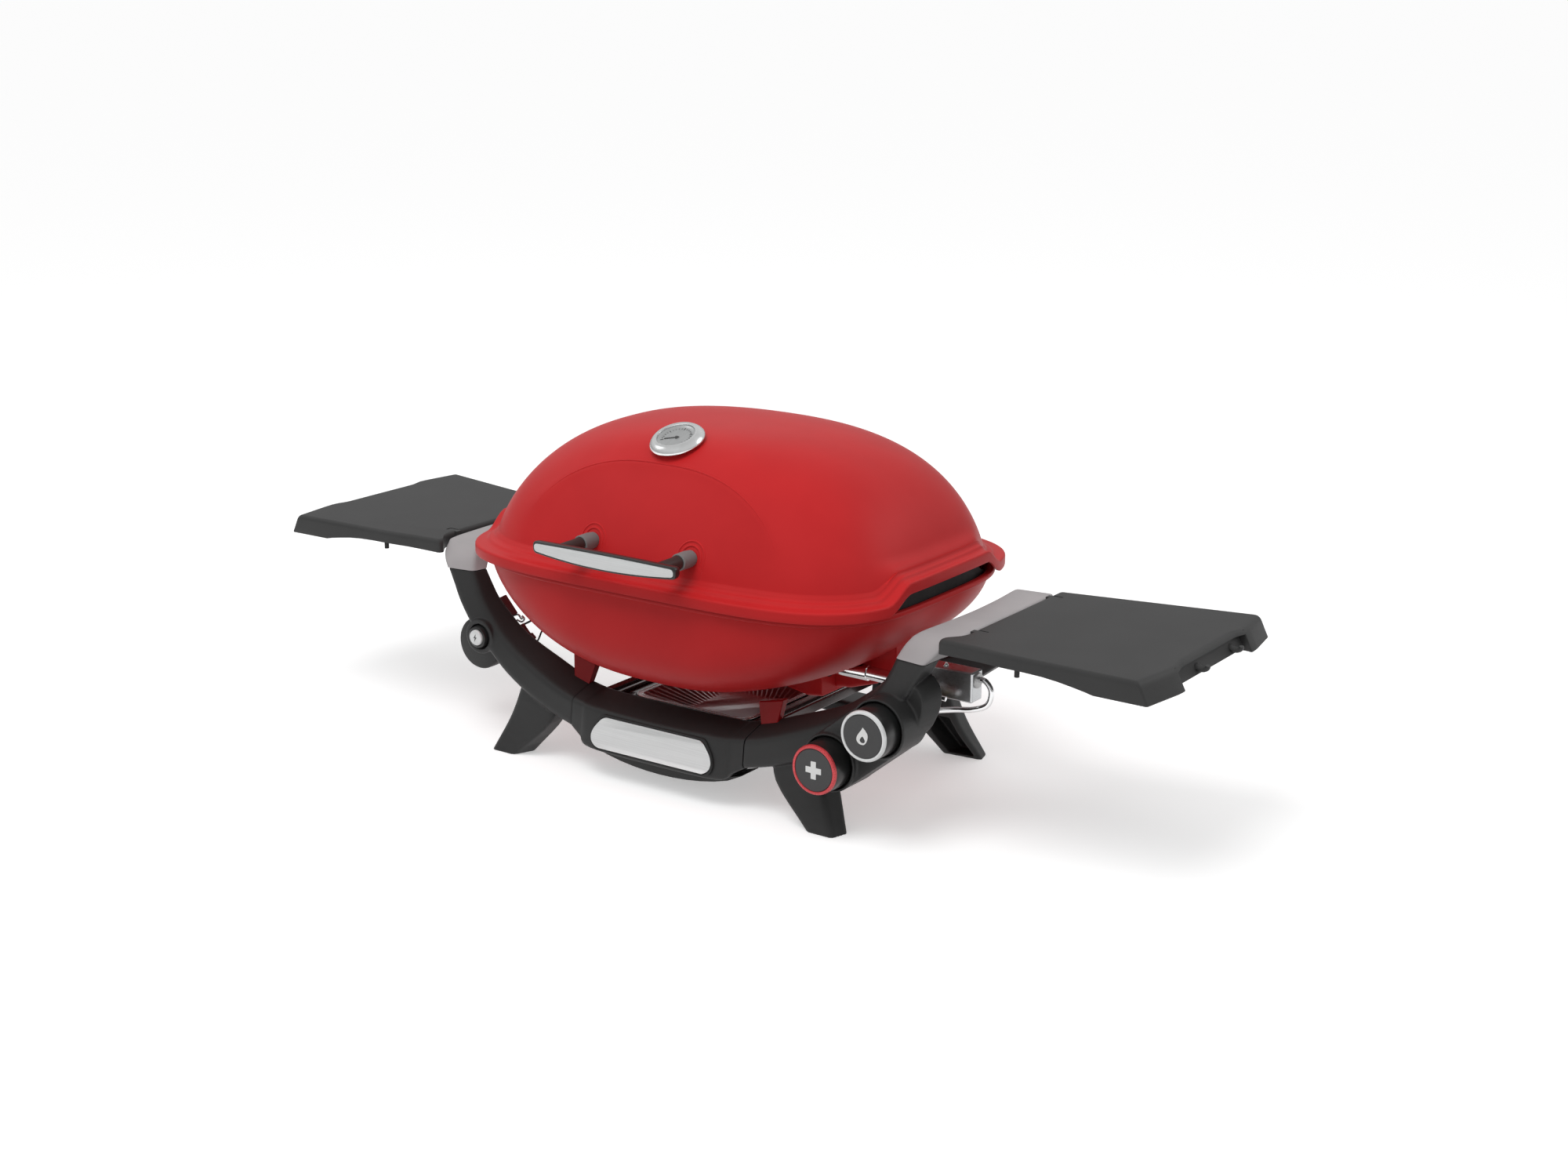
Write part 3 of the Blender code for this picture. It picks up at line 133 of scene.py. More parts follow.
def superellipse(half_width, front, back, power, z, count=256):
    """A ring with evenly spaced points along each quarter, that reaches front to -Y and back to +Y."""
    ring = []
    fine = 160
    for quarter in range(4):
        line = []
        for i in range(fine + 1):
            angle = math.pi / 2 * (quarter + i / fine)
            c = math.cos(angle)
            s = math.sin(angle)
            reach = front if s < 0 else back
            x = half_width * math.copysign(abs(c) ** (2 / power), c)
            y = reach * math.copysign(abs(s) ** (2 / power), s)
            line.append(Vector((x, y, z)))
        ring += evenly_spaced(line, count // 4)
    return ring


def evenly_spaced(line, count):
    """count points along a line, from its first point and short of its last."""
    lengths = [0.0]
    for a, b in zip(line, line[1:]):
        lengths.append(lengths[-1] + (b - a).length)
    points = []
    i = 0
    for step in range(count):
        target = lengths[-1] * step / count
        while lengths[i + 1] < target:
            i += 1
        share = (target - lengths[i]) / (lengths[i + 1] - lengths[i] or 1.0)
        points.append(line[i].lerp(line[i + 1], share))
    return points


def rounded(corners, radii, steps=4):
    """A polygon in space with each corner turned into a short curve."""
    points = []
    count = len(corners)
    corners = [Vector(corner) for corner in corners]
    radii = radii if isinstance(radii, (list, tuple)) else [radii] * count
    for i, corner in enumerate(corners):
        before = corners[i - 1] - corner
        after = corners[(i + 1) % count] - corner
        size = min(radii[i], before.length * 0.45, after.length * 0.45)
        start = corner + before.normalized() * size
        end = corner + after.normalized() * size
        for step in range(steps + 1):
            t = step / steps
            points.append(start * (1 - t) ** 2 + corner * 2 * t * (1 - t) + end * t**2)
    return points


def smooth_rows(rows, per_span):
    """Rows of points between the given rows, on Catmull-Rom curves through them."""
    padded = [
        [a * 2 - b for a, b in zip(rows[0], rows[1])],
        *rows,
        [a * 2 - b for a, b in zip(rows[-1], rows[-2])],
    ]
    result = []
    for i in range(len(rows) - 1):
        for step in range(per_span):
            t = step / per_span
            row = []
            for a, b, c, d in zip(*padded[i : i + 4]):
                row.append(
                    0.5
                    * (
                        2 * b
                        + (c - a) * t
                        + (2 * a - 5 * b + 4 * c - d) * t**2
                        + (3 * b - a - 3 * c + d) * t**3
                    )
                )
            result.append(row)
    result.append(list(rows[-1]))
    return result


def smooth_path(path, per_span):
    return [row[0] for row in smooth_rows([[Vector(point)] for point in path], per_span)]


def mirrored(points, x=1.0, y=1.0):
    return [Vector((point[0] * x, point[1] * y, point[2])) for point in points]


def slab_bmesh(outline, ys, x=1.0):
    """A solid with this outline of (x, z) pairs, between two places along Y."""
    return loft_bmesh([[Vector((x * px, y, pz)) for px, pz in outline] for y in ys])


def box_bmesh(low, high):
    bm = bmesh.new()
    size = Vector(high) - Vector(low)
    centre = (Vector(high) + Vector(low)) / 2
    bmesh.ops.create_cube(
        bm, size=1.0, matrix=Matrix.Translation(centre) @ Matrix.Diagonal((*size, 1.0))
    )
    return bm


def cylinder_bmesh(start, end, radius, sides=48):
    bm = bmesh.new()
    start = Vector(start)
    axis = Vector(end) - start
    turn = axis.to_track_quat("Z", "Y").to_matrix().to_4x4()
    bmesh.ops.create_cone(
        bm,
        cap_ends=True,
        segments=sides,
        radius1=radius,
        radius2=radius,
        depth=axis.length,
        matrix=Matrix.Translation(start + axis / 2) @ turn,
    )
    return bm


def tube_bmesh(path, radius, sides=20, cyclic=False):
    """A round tube along a path. radius is one number, or a function of the share of the path."""
    path = [Vector(point) for point in path]
    rings = []
    across = Vector((0.0, 0.0, 1.0))
    for i, point in enumerate(path):
        if cyclic:
            along = (path[(i + 1) % len(path)] - path[i - 1]).normalized()
        else:
            along = (path[min(i + 1, len(path) - 1)] - path[max(i - 1, 0)]).normalized()
        side = along.cross(across)
        if side.length < 0.05:
            side = along.cross(Vector((0.0, 1.0, 0.0)))
        side.normalize()
        across = side.cross(along).normalized()
        reach = radius(i / (len(path) - 1)) if callable(radius) else radius
        ring = []
        for k in range(sides):
            angle = 2 * math.pi * k / sides
            ring.append(point + (side * math.cos(angle) + across * math.sin(angle)) * reach)
        rings.append(ring)
    return loft_bmesh(rings, closed=cyclic)


def face_matrix(place):
    """Turns a solid's +Z towards the front, at this place."""
    return Matrix.Translation(place) @ Matrix.Rotation(math.radians(90), 4, "X")


def right_matrix(place):
    """Turns a solid's +Z towards the right, at this place."""
    return Matrix.Translation(place) @ Matrix.Rotation(math.radians(90), 4, "Y")


def mesh_object(name, bm):
    """A plain object from a bmesh, moved to where the CAD lid is."""
    bmesh.ops.remove_doubles(bm, verts=bm.verts, dist=1e-6)
    bmesh.ops.recalc_face_normals(bm, faces=bm.faces)
    bm.transform(Matrix.Translation(MIDDLE))
    mesh = bpy.data.meshes.new(name)
    bm.to_mesh(mesh)
    bm.free()
    obj = bpy.data.objects.new(name, mesh)
    bpy.context.scene.collection.objects.link(obj)
    return obj


def keep_modifiers(obj):
    """Turns what the modifiers make into the object's own mesh."""
    graph = bpy.context.evaluated_depsgraph_get()
    mesh = bpy.data.meshes.new_from_object(obj.evaluated_get(graph))
    obj.modifiers.clear()
    obj.data = mesh
    return obj


def combined(obj, operation, *solids):
    """Joins solids to an object, or cuts them from it."""
    helpers = []
    for i, bm in enumerate(solids):
        helper = mesh_object(f"{obj.name}_{operation.lower()}_{i}", bm)
        modifier = obj.modifiers.new(helper.name, "BOOLEAN")
        modifier.operation = operation
        modifier.object = helper
        modifier.solver = "EXACT"
        helpers.append(helper)
    keep_modifiers(obj)
    for helper in helpers:
        bpy.data.objects.remove(helper, do_unlink=True)
    return obj


def moulded(obj, voxel, iterations):
    """Remeshes a solid and relaxes it, which rounds its edges and fills its inner corners."""
    remesh = obj.modifiers.new("Remesh", "REMESH")
    remesh.mode = "VOXEL"
    remesh.voxel_size = voxel
    relax = obj.modifiers.new("Relax", "SMOOTH")
    relax.factor = 0.5
    relax.iterations = iterations
    return keep_modifiers(obj)


def dressed(obj, mat, body, nodes=(), slot=None, angle=35.0, bevel=0.0, segments=3):
    """Gives a piece its material, shading and edge rounding, and hangs it on its CAD body."""
    obj.data.materials.clear()
    obj.data.materials.append(mat)
    obj.data.shade_smooth()
    obj.data.set_sharp_from_angle(angle=math.radians(angle))
    if bevel:
        modifier = obj.modifiers.new("Edges", "BEVEL")
        modifier.width = bevel
        modifier.segments = segments
        modifier.limit_method = "ANGLE"
        modifier.angle_limit = math.radians(angle)
        modifier.harden_normals = True
    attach(obj, body)
    if nodes:
        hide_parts(*nodes)
    return obj


def add_piece(name, bm, mat, body, nodes=(), slot=None, **finish):
    return dressed(mesh_object(name, bm), mat, body, nodes, slot, **finish)


NODE_BODY = {}
for body_name, members in frame["record"]["behaviour"]["bodies"].items():
    for member in members:
        NODE_BODY[member] = body_name
NODE_SLOT = {part["node"]: part["material_slot"] for part in frame["record"]["subparts"]}


def refined(node, mat, bevel=0.0006, angle=30.0, segments=2, merge=math.radians(1.0)):
    """A copy of a CAD node with its flat faces whole, its curves smooth and its edges rounded."""
    bm = bmesh.new()
    bm.from_mesh(frame["nodes"][node].data)
    bmesh.ops.remove_doubles(bm, verts=bm.verts, dist=1e-5)
    bmesh.ops.dissolve_limit(bm, angle_limit=merge, verts=bm.verts, edges=bm.edges)
    bm.transform(Matrix.Translation(-MIDDLE))
    obj = mesh_object(node + "_fine", bm)
    return dressed(obj, mat, NODE_BODY[node], [node], NODE_SLOT[node], angle, bevel, segments)


def replace_node(node, bm, mat, slot=None, **finish):
    """A piece drawn anew that takes the place of one CAD node. The slot argument is not used."""
    return add_piece(node + "_fine", bm, mat, NODE_BODY[node], [node], slot or NODE_SLOT[node], **finish)


# ---------------------------------------------------------------- materials
def new_noise(mat, place, scale, detail):
    """The strength of a noise texture at a place given by a node's output."""
    noise = mat.node_tree.nodes.new("ShaderNodeTexNoise")
    noise.inputs["Scale"].default_value = scale
    noise.inputs["Detail"].default_value = detail
    mat.node_tree.links.new(place, noise.inputs["Vector"])
    return noise.outputs["Fac"]


def finish_nodes(mat, tint, tints, span, fine, gloss, dent):
    """Drives the colour of a material by one noise, and its gloss and dents by another."""
    nodes = mat.node_tree.nodes
    link = mat.node_tree.links.new
    shader = nodes["Principled BSDF"]
    colors = nodes.new("ShaderNodeValToRGB")
    for element, place, color in zip(colors.color_ramp.elements, span, tints):
        element.position = place
        element.color = (*color, 1.0)
    link(tint, colors.inputs["Fac"])
    link(colors.outputs["Color"], shader.inputs["Base Color"])
    shine = nodes.new("ShaderNodeMapRange")
    shine.inputs["To Min"].default_value, shine.inputs["To Max"].default_value = gloss
    link(fine, shine.inputs["Value"])
    link(shine.outputs["Result"], shader.inputs["Roughness"])
    dents = nodes.new("ShaderNodeBump")
    dents.inputs["Strength"].default_value, dents.inputs["Distance"].default_value = dent
    link(fine, dents.inputs["Height"])
    link(dents.outputs["Normal"], shader.inputs["Normal"])


def surface(
    name, color, second, roughness, metallic=0.0, grain=900.0, bump=0.12, coat=0.0, spread=0.05,
    specular=0.5,
):
    """A procedural finish: two near colours in soft patches, a fine grain and uneven gloss."""
    mat = bpy.data.materials.new(name)
    mat.use_nodes = True
    shader = mat.node_tree.nodes["Principled BSDF"]
    values = {
        "Metallic": metallic, "Specular IOR Level": specular, "Coat Weight": coat, "Coat Roughness": 0.25
    }
    for key, value in values.items():
        shader.inputs[key].default_value = value
    place = mat.node_tree.nodes.new("ShaderNodeTexCoord").outputs["Object"]
    patches = new_noise(mat, place, 14.0, 3.0)
    fine = new_noise(mat, place, grain, 2.0)
    gloss = (roughness - spread, roughness + spread)
    finish_nodes(mat, patches, (color, second), (0.35, 0.65), fine, gloss, (bump, 0.0004))
    return mat


def brushed(name, color, roughness, stretch, bump=0.15):
    """A metal with fine brush lines. stretch squeezes the noise along each axis."""
    mat = bpy.data.materials.new(name)
    mat.use_nodes = True
    nodes = mat.node_tree.nodes
    nodes["Principled BSDF"].inputs["Metallic"].default_value = 1.0
    squeeze = nodes.new("ShaderNodeMapping")
    squeeze.inputs["Scale"].default_value = stretch
    place = nodes.new("ShaderNodeTexCoord").outputs["Object"]
    mat.node_tree.links.new(place, squeeze.inputs["Vector"])
    lines = new_noise(mat, squeeze.outputs["Vector"], 1.0, 4.0)
    dark = [value * 0.88 for value in color]
    gloss = (roughness - 0.06, roughness + 0.08)
    finish_nodes(mat, lines, (dark, color), (0.3, 0.7), lines, gloss, (bump, 0.0002))
    return mat


RED = surface(
    "red_powder_coat", (0.58, 0.022, 0.024), (0.55, 0.02, 0.022), 0.42,
    grain=1400.0, bump=0.1, specular=0.15,
)
RED_STEEL = surface("dark_red_paint", (0.22, 0.012, 0.014), (0.18, 0.01, 0.012), 0.42, grain=900.0)
CHARCOAL = surface(
    "charcoal_plastic", (0.027, 0.027, 0.027), (0.024, 0.024, 0.024), 0.46,
    grain=2200.0, bump=0.3, specular=0.35,
)
TABLE_GREY = surface(
    "table_plastic", (0.044, 0.044, 0.044), (0.04, 0.04, 0.04), 0.5, grain=2200.0, bump=0.25, specular=0.3
)
LIGHT_GREY = surface(
    "rail_paint", (0.43, 0.405, 0.41), (0.39, 0.37, 0.375), 0.5, grain=1500.0, bump=0.35
)
BLACK = surface("black_plastic", (0.016, 0.016, 0.016), (0.02, 0.02, 0.02), 0.3, grain=900.0, bump=0.04)
SOFT_BLACK = surface(
    "soft_black", (0.012, 0.012, 0.012), (0.016, 0.016, 0.016), 0.65, grain=900.0, bump=0.1
)
POST_BROWN = surface(
    "post_brown", (0.03, 0.02, 0.018), (0.024, 0.017, 0.016), 0.45, grain=900.0, bump=0.1
)
COLLAR_GREY = surface("collar_grey", (0.2, 0.2, 0.2), (0.16, 0.16, 0.16), 0.55, grain=1800.0, bump=0.5)
KNOB_FACE = surface(
    "knob_face", (0.042, 0.042, 0.043), (0.038, 0.038, 0.039), 0.45, grain=1500.0, bump=0.1
)
SYMBOL_WHITE = surface(
    "symbol_white", (0.98, 0.98, 0.97), (0.95, 0.95, 0.94), 0.45, grain=900.0, bump=0.05
)
WHITE_RING = surface(
    "silver_ring", (0.86, 0.87, 0.87), (0.8, 0.81, 0.81), 0.25, 0.2, grain=900.0, bump=0.03
)
RED_RING = surface(
    "red_ring", (0.7, 0.075, 0.085), (0.62, 0.06, 0.07), 0.28, 0.35, grain=900.0, bump=0.03
)
CHROME = surface(
    "chrome", (0.82, 0.82, 0.82), (0.76, 0.76, 0.77), 0.12, 1.0, grain=300.0, bump=0.02, spread=0.04
)
ZINC = brushed("galvanised_steel", (0.55, 0.56, 0.57), 0.3, (160.0, 160.0, 900.0), 0.3)
STEEL = surface("burner_steel", (0.42, 0.41, 0.4), (0.34, 0.33, 0.32), 0.38, 1.0, grain=600.0, bump=0.1)
BRASS = surface("brass", (0.62, 0.43, 0.17), (0.55, 0.38, 0.14), 0.32, 1.0, grain=700.0, bump=0.08)
CAST = surface(
    "cast_iron", (0.022, 0.022, 0.023), (0.032, 0.031, 0.03), 0.62, 0.2, grain=700.0, bump=0.8
)
BRUSHED = brushed("brushed_aluminium", (0.78, 0.79, 0.79), 0.34, (14.0, 600.0, 900.0))
DIAL = brushed("dial_plate", (0.62, 0.63, 0.63), 0.36, (700.0, 60.0, 60.0), 0.3)
PAN_RAIL = surface(
    "pan_rail_gloss", (0.055, 0.018, 0.016), (0.035, 0.015, 0.014), 0.16, grain=500.0, bump=0.04,
    coat=0.6,
)
FOIL = surface("foil", (0.74, 0.74, 0.75), (0.66, 0.66, 0.67), 0.3, 1.0, grain=160.0, bump=0.6)
CERAMIC = surface("ceramic", (0.74, 0.73, 0.68), (0.7, 0.69, 0.64), 0.35, grain=600.0, bump=0.05)
STUD = surface("stud_grey", (0.11, 0.11, 0.11), (0.09, 0.09, 0.09), 0.4, 0.4, grain=800.0, bump=0.1)
# Near-black with a coarse bump: painted shade for the dark inside of the grill seen through each vent slot.
VENT_SHADE_BLACK = surface("vent_painted_shade", (0.01, 0.01, 0.01), (0.03, 0.03, 0.03), 0.75, grain=260.0, bump=1.0)
BEZEL = brushed("spun_bezel", (0.84, 0.85, 0.85), 0.22, (60.0, 60.0, 60.0), 0.05)
INSERT = brushed("handle_insert_metal", (0.56, 0.57, 0.57), 0.42, (12.0, 500.0, 700.0), 0.1)
PLATE = brushed("name_plate_metal", (0.76, 0.77, 0.77), 0.44, (10.0, 600.0, 900.0), 0.1)
CERAMIC_GREY = surface(
    "plug_grey", (0.56, 0.56, 0.56), (0.5, 0.5, 0.5), 0.35, 0.4, grain=500.0, bump=0.05
)
# A lighter, smoother copy of the foil: a painted glint that makes the tray's rolled rims show as bright
# lines.
FOIL_EDGE_GLINT = surface("foil_edge", (0.86, 0.86, 0.86), (0.8, 0.8, 0.8), 0.24, 0.8, grain=300.0, bump=0.05)
RED_STEEL_GLOSS = surface(
    "bracket_enamel", (0.34, 0.006, 0.008), (0.28, 0.005, 0.007), 0.3, specular=0.2
)


# ---------------------------------------------------------------- lid
def facet_reach(x, z):
    """How far forward the pressed front facet lies."""
    below = 0.408 - z
    return 0.152 + 0.6 * below - 1.43 * below**2 - 0.32 * x**2


def soft_smaller(a, b, blend=0.001):
    """The smaller of two reaches, with a rounded crease where they meet."""
    return (a + b) / 2 - math.sqrt((a - b) ** 2 + blend**2) / 2


def crease(dome, facet, x, z):
    """The y of the lid's front, with a low bead where dome and facet meet that fades out low down."""
    bead = 0.001 * math.exp(-(((dome - facet) / 0.003) ** 2))
    fade = smoothstep(0.318, 0.35, z) * (1 - smoothstep(0.17, 0.21, abs(x)))
    return -soft_smaller(dome, facet) - bead * fade


def vent_lift(y):
    """The lid's two ends rise over a slot above the cookbox rim."""
    return 0.021 * (1 - smoothstep(0.086, 0.128, abs(y)))


def lifted(ring, share):
    """A ring raised at the lid's two ends, by a share of the vents' lift."""
    points = []
    for p in ring:
        lift = share * vent_lift(p.y) * smoothstep(0.15, 0.25, abs(p.x))
        points.append(Vector((p.x, p.y, p.z + lift)))
    return points


def dome_spread(u):
    """The dome's half width, front reach and squareness, from its base (0) to its top (1)."""
    return 0.301 * (1 - u**1.68) ** (1 / 3.05), 0.203 * (1 - u**1.65) ** (1 / 4.0), 3.9 - 1.7 * u


def dome_ring(u, inset):
    width, front, power = dome_spread(u)
    back = 0.201 * (1 - u**3.85) ** (1 / 2.21)
    z = DOME_BASE + (LID_TOP - DOME_BASE) * u - inset
    ring = superellipse(width - inset, front - inset, back - inset, power, z)
    faceted = []
    for p in ring:
        y = p.y
        if y < 0:
            y = crease(-y, facet_reach(p.x, z) - inset, p.x, z)
        faceted.append(Vector((p.x, y, z)))
    return lifted(faceted, 1 - smoothstep(0.02, 0.3, u))


def rim_ring(inset, z):
    ring = superellipse(
        RIM_HALF_WIDTH - inset, RIM_HALF_DEPTH - inset, RIM_HALF_DEPTH - inset, RIM_POWER, z
    )
    return lifted(ring, 1.0)


def flange_ring(base, share, z):
    """A ring of the flange between the dome's base and the rim's edge."""
    rim = rim_ring(0.0, 0.0)
    flat = [Vector((p.x, p.y, 0.0)) for p in base]
    ring = []
    for a, b in zip(flat, rim):
        p = a.lerp(Vector((b.x, b.y, 0.0)), share)
        ring.append(Vector((p.x, p.y, z)))
    return lifted(ring, 1.0)


def make_lid():
    count = 84
    levels = [1 - k / count for k in range(1, count)]
    outer = [[Vector((0.0, 0.0, LID_TOP))]] + [
        dome_ring(u, 0.0) for u in (0.9995, 0.998, 0.994) + tuple(levels)
    ]
    base = dome_ring(0.03, 0.0)
    outer = [ring for ring in outer if len(ring) == 1 or min(p.z for p in ring) > DOME_BASE + 0.0138]
    # The flange: a small step, a sloping ledge, a second ridge and the rim's edge.
    section = [
        (0.02, 0.2884), (0.05, 0.2866), (0.1, 0.285), (0.16, 0.284), (0.22, 0.2834), (0.28, 0.283),
        (0.33, 0.2825), (0.37, 0.2815), (0.41, 0.2802), (0.46, 0.2793), (0.54, 0.2787),
        (0.64, 0.2783), (0.74, 0.2781), (0.82, 0.278), (0.89, 0.2779), (0.94, 0.2776),
        (0.975, 0.2769), (0.995, 0.2757), (1.0, 0.2742), (1.0, 0.269),
        (1.0, LID_LOWER_EDGE + 0.0012), (0.985, LID_LOWER_EDGE),
    ]
    flange = [flange_ring(base, share, z) for share, z in section]
    under = [
        rim_ring(WALL, LID_LOWER_EDGE),
        rim_ring(WALL + 0.0004, LID_LOWER_EDGE + 0.001),
        rim_ring(WALL + 0.0004, 0.2725),
        rim_ring(0.011, 0.2745),
        rim_ring(0.015, 0.2785),
    ]
    inner = [dome_ring(u, WALL) for u in reversed(levels) if u > 0.08]
    inner += [dome_ring(0.994, WALL), [Vector((0.0, 0.0, LID_TOP - WALL))]]
    lid = mesh_object("lid_shell_fine", loft_bmesh(outer + flange + under + inner))
    return dressed(lid, RED, "lid", ["lid_shell"], "red_enamel", angle=50.0)


def dome_reach(x, z):
    """How far forward the round dome lies, from its own formula."""
    u = (z - DOME_BASE) / (LID_TOP - DOME_BASE)
    width, front, power = dome_spread(u)
    return front * max(1 - (abs(x) / width) ** power, 0.0) ** (1 / power)


def dome_front_y(x, z):
    return crease(dome_reach(x, z), facet_reach(x, z), x, z)


def make_facet_ridge():
    """A fine rounded ridge along the arch where the pressed facet meets the dome."""
    path = []
    for i in range(121):
        x = -0.184 + 0.368 * i / 120
        low, high = 0.29, 0.425
        for _ in range(24):
            z = (low + high) / 2
            if dome_reach(x, z) > facet_reach(x, z):
                low = z
            else:
                high = z
        path.append(Vector((x, -facet_reach(x, low) + 0.0002, low)))
    ridge = tube_bmesh(path, lambda share: 0.0003 + 0.0011 * math.sin(math.pi * share) ** 0.5, 12)
    add_piece("facet_ridge", ridge, RED, "lid", slot="red_enamel", angle=80.0)


def make_post_ridges():
    """Two raised arches pressed into the lid round each handle post, that run out below it."""
    for label, side in (("left", -1), ("right", 1)):
        post = middle_of(f"handle_post_{label}")
        for name, radius, height, drop in (
            ("inner", 0.014, 0.0017, 0.016), ("outer", 0.0192, 0.0014, 0.03)
        ):
            path = []
            for i in range(8):
                path.append((post.x - radius, post.z - drop * (1 - i / 8)))
            for i in range(33):
                angle = math.pi * (1 - i / 32)
                path.append((post.x + radius * math.cos(angle), post.z + radius * math.sin(angle)))
            for i in range(1, 9):
                path.append((post.x + radius, post.z - drop * i / 8))
            points = [Vector((x, dome_front_y(x, z) + height * 0.35, z)) for x, z in path]

            def girth(share, full=height):
                return full * (0.25 + 0.75 * smoothstep(0.0, 0.25, min(share, 1 - share) * 1.6))

            add_piece(
                f"lid_{name}_ridge_{label}", tube_bmesh(points, girth, 12), RED, "lid", slot="red_enamel"
            )


def make_thermometer():
    low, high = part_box("thermometer_bezel")
    tilt = math.radians(22)
    place = Vector((0.0, -0.12, 0.4315))
    matrix = Matrix.Translation(place) @ Matrix.Rotation(tilt, 4, "X")
    radius = (high.x - low.x) / 2
    bezel = [
        (0.0238, 0.0098), (0.0242, 0.0108), (0.0252, 0.0113), (0.0268, 0.0112), (0.0292, 0.0104),
        (0.0322, 0.0078), (0.034, 0.0053), (radius, 0.0038), (radius, 0.0026),
        (radius - 0.0008, 0.0022), (0.006, 0.0022), (0.006, 0.005), (0.0238, 0.005),
    ]
    replace_node("thermometer_bezel", lathe_bmesh(bezel, matrix, 96), BEZEL)
    dial = [
        (0.0, 0.0068), (0.0196, 0.007), (0.0214, 0.0074), (0.0232, 0.0088), (0.0236, 0.009),
        (0.0236, 0.0054), (0.0052, 0.0054), (0.0034, 0.003), (0.0034, -0.04), (0.0, -0.0415),
    ]
    replace_node("thermometer_dial", lathe_bmesh(dial, matrix, 96), DIAL)
    marks = bmesh.new()
    for i in range(21):
        angle = math.radians(210 - 240 * i / 20)
        long_mark = i % 5 == 0
        turn = matrix @ Matrix.Rotation(angle, 4, "Z") @ Matrix.Translation((0.0182, 0.0, 0.00715))
        size = Matrix.Diagonal(
            (0.004 if long_mark else 0.0022, 0.0007 if long_mark else 0.0004, 0.0003, 1.0)
        )
        bmesh.ops.create_cube(marks, size=1.0, matrix=turn @ size)
    needle = matrix @ Matrix.Rotation(math.radians(205), 4, "Z") @ Matrix.Translation(
        (0.006, 0.0, 0.0074)
    )
    bmesh.ops.create_cube(marks, size=1.0, matrix=needle @ Matrix.Diagonal((0.019, 0.001, 0.0004, 1.0)))
    add_piece("thermometer_marks", marks, STUD, "lid", slot="dial_face")
    hub = lathe_bmesh(
        [(0.0, 0.0082), (0.0018, 0.008), (0.0024, 0.0074), (0.0024, 0.0066), (0.0, 0.0066)], matrix, 24
    )
    add_piece("thermometer_hub", hub, STUD, "lid", slot="dial_face")


# ---------------------------------------------------------------- handle
HANDLE_LOW, HANDLE_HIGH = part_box("handle_bar")
HANDLE_Y = HANDLE_LOW.y - MIDDLE.y - 0.0002
HANDLE_Z = (HANDLE_LOW.z + HANDLE_HIGH.z) / 2
HANDLE_HALF = HANDLE_HIGH.x


def handle_outline(y, grow):
    """The handle's outline in the plane at y: an almost straight top and a lower edge that bulges."""
    length = HANDLE_HALF - 0.0002 + grow
    top = 0.0082 + grow
    foot = 0.0062 + grow
    corners = [(-length, y, top), (length, y, top), (length, y, -foot), (-length, y, -foot)]
    line = rounded(corners, 0.0048, 8)
    ring = []
    for p in evenly_spaced([*line, line[0]], 240):
        lower = 1 - smoothstep(-foot, top, p.z)
        share = 1 - (p.x / length) ** 2
        ring.append(
            Vector((p.x, p.y - 0.003 * share, HANDLE_Z + p.z + share * (0.002 - 0.008 * lower)))
        )
    return ring


def make_handle():
    front = HANDLE_Y + 0.003
    inner = front + 0.013
    bar = (
        (front + 0.0024, -0.0022), (front + 0.0003, -0.0021), (front, -0.0017), (
            front + 0.0003, -0.001
        ),
        (front + 0.0012, -0.0003), (front + 0.0026, 0.0), (front + 0.008, -0.0002),
        (inner - 0.002, -0.001), (inner - 0.0006, -0.0022), (inner, -0.0038),
    )
    rings = [handle_outline(y, grow) for y, grow in bar]
    replace_node("handle_bar", loft_bmesh(rings), BLACK, angle=60.0)
    insert = ((front + 0.002, -0.0024), (front + 0.0002, -0.0024), (front - 0.0002, -0.0028))
    rings = [handle_outline(y, grow) for y, grow in insert]
    replace_node("handle_insert", loft_bmesh(rings), INSERT)
    for label in ("left", "right"):
        node = f"handle_post_{label}"
        post = middle_of(node)
        low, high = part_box(node)
        reach = high.y - low.y + 0.001
        root = Vector((post.x, high.y - MIDDLE.y, post.z))
        shaft = [
            (0.0, reach), (0.0078, reach), (0.0081, reach * 0.5), (0.0088, 0.016), (0.0088, 0.014),
            (0.0, 0.014),
        ]
        replace_node(node, lathe_bmesh(shaft, face_matrix(root), 64), POST_BROWN)
        collar = [
            (0.0, 0.019), (0.0096, 0.019), (0.0103, 0.0182), (0.0106, 0.002), (0.0098, -0.006),
            (0.0, -0.006),
        ]
        add_piece(
            f"handle_collar_{label}", lathe_bmesh(collar, face_matrix(root), 64), COLLAR_GREY,
            "lid", slot="post_brown"
        )


# ---------------------------------------------------------------- cookbox
def bowl_ring(depth, inset):
    width = 0.306 * (1 - depth**1.81) ** (1 / 1.91)
    reach = 0.217 * (1 - depth**4.47) ** (1 / 3.61)
    z = BOWL_TOP - (BOWL_TOP - 0.1236) * depth + inset * min(1.0, depth * 1.6)
    inset *= 1.0 + 0.6 * depth
    return superellipse(width - inset, reach - inset, reach - inset, 3.65 - 0.6 * depth, z)


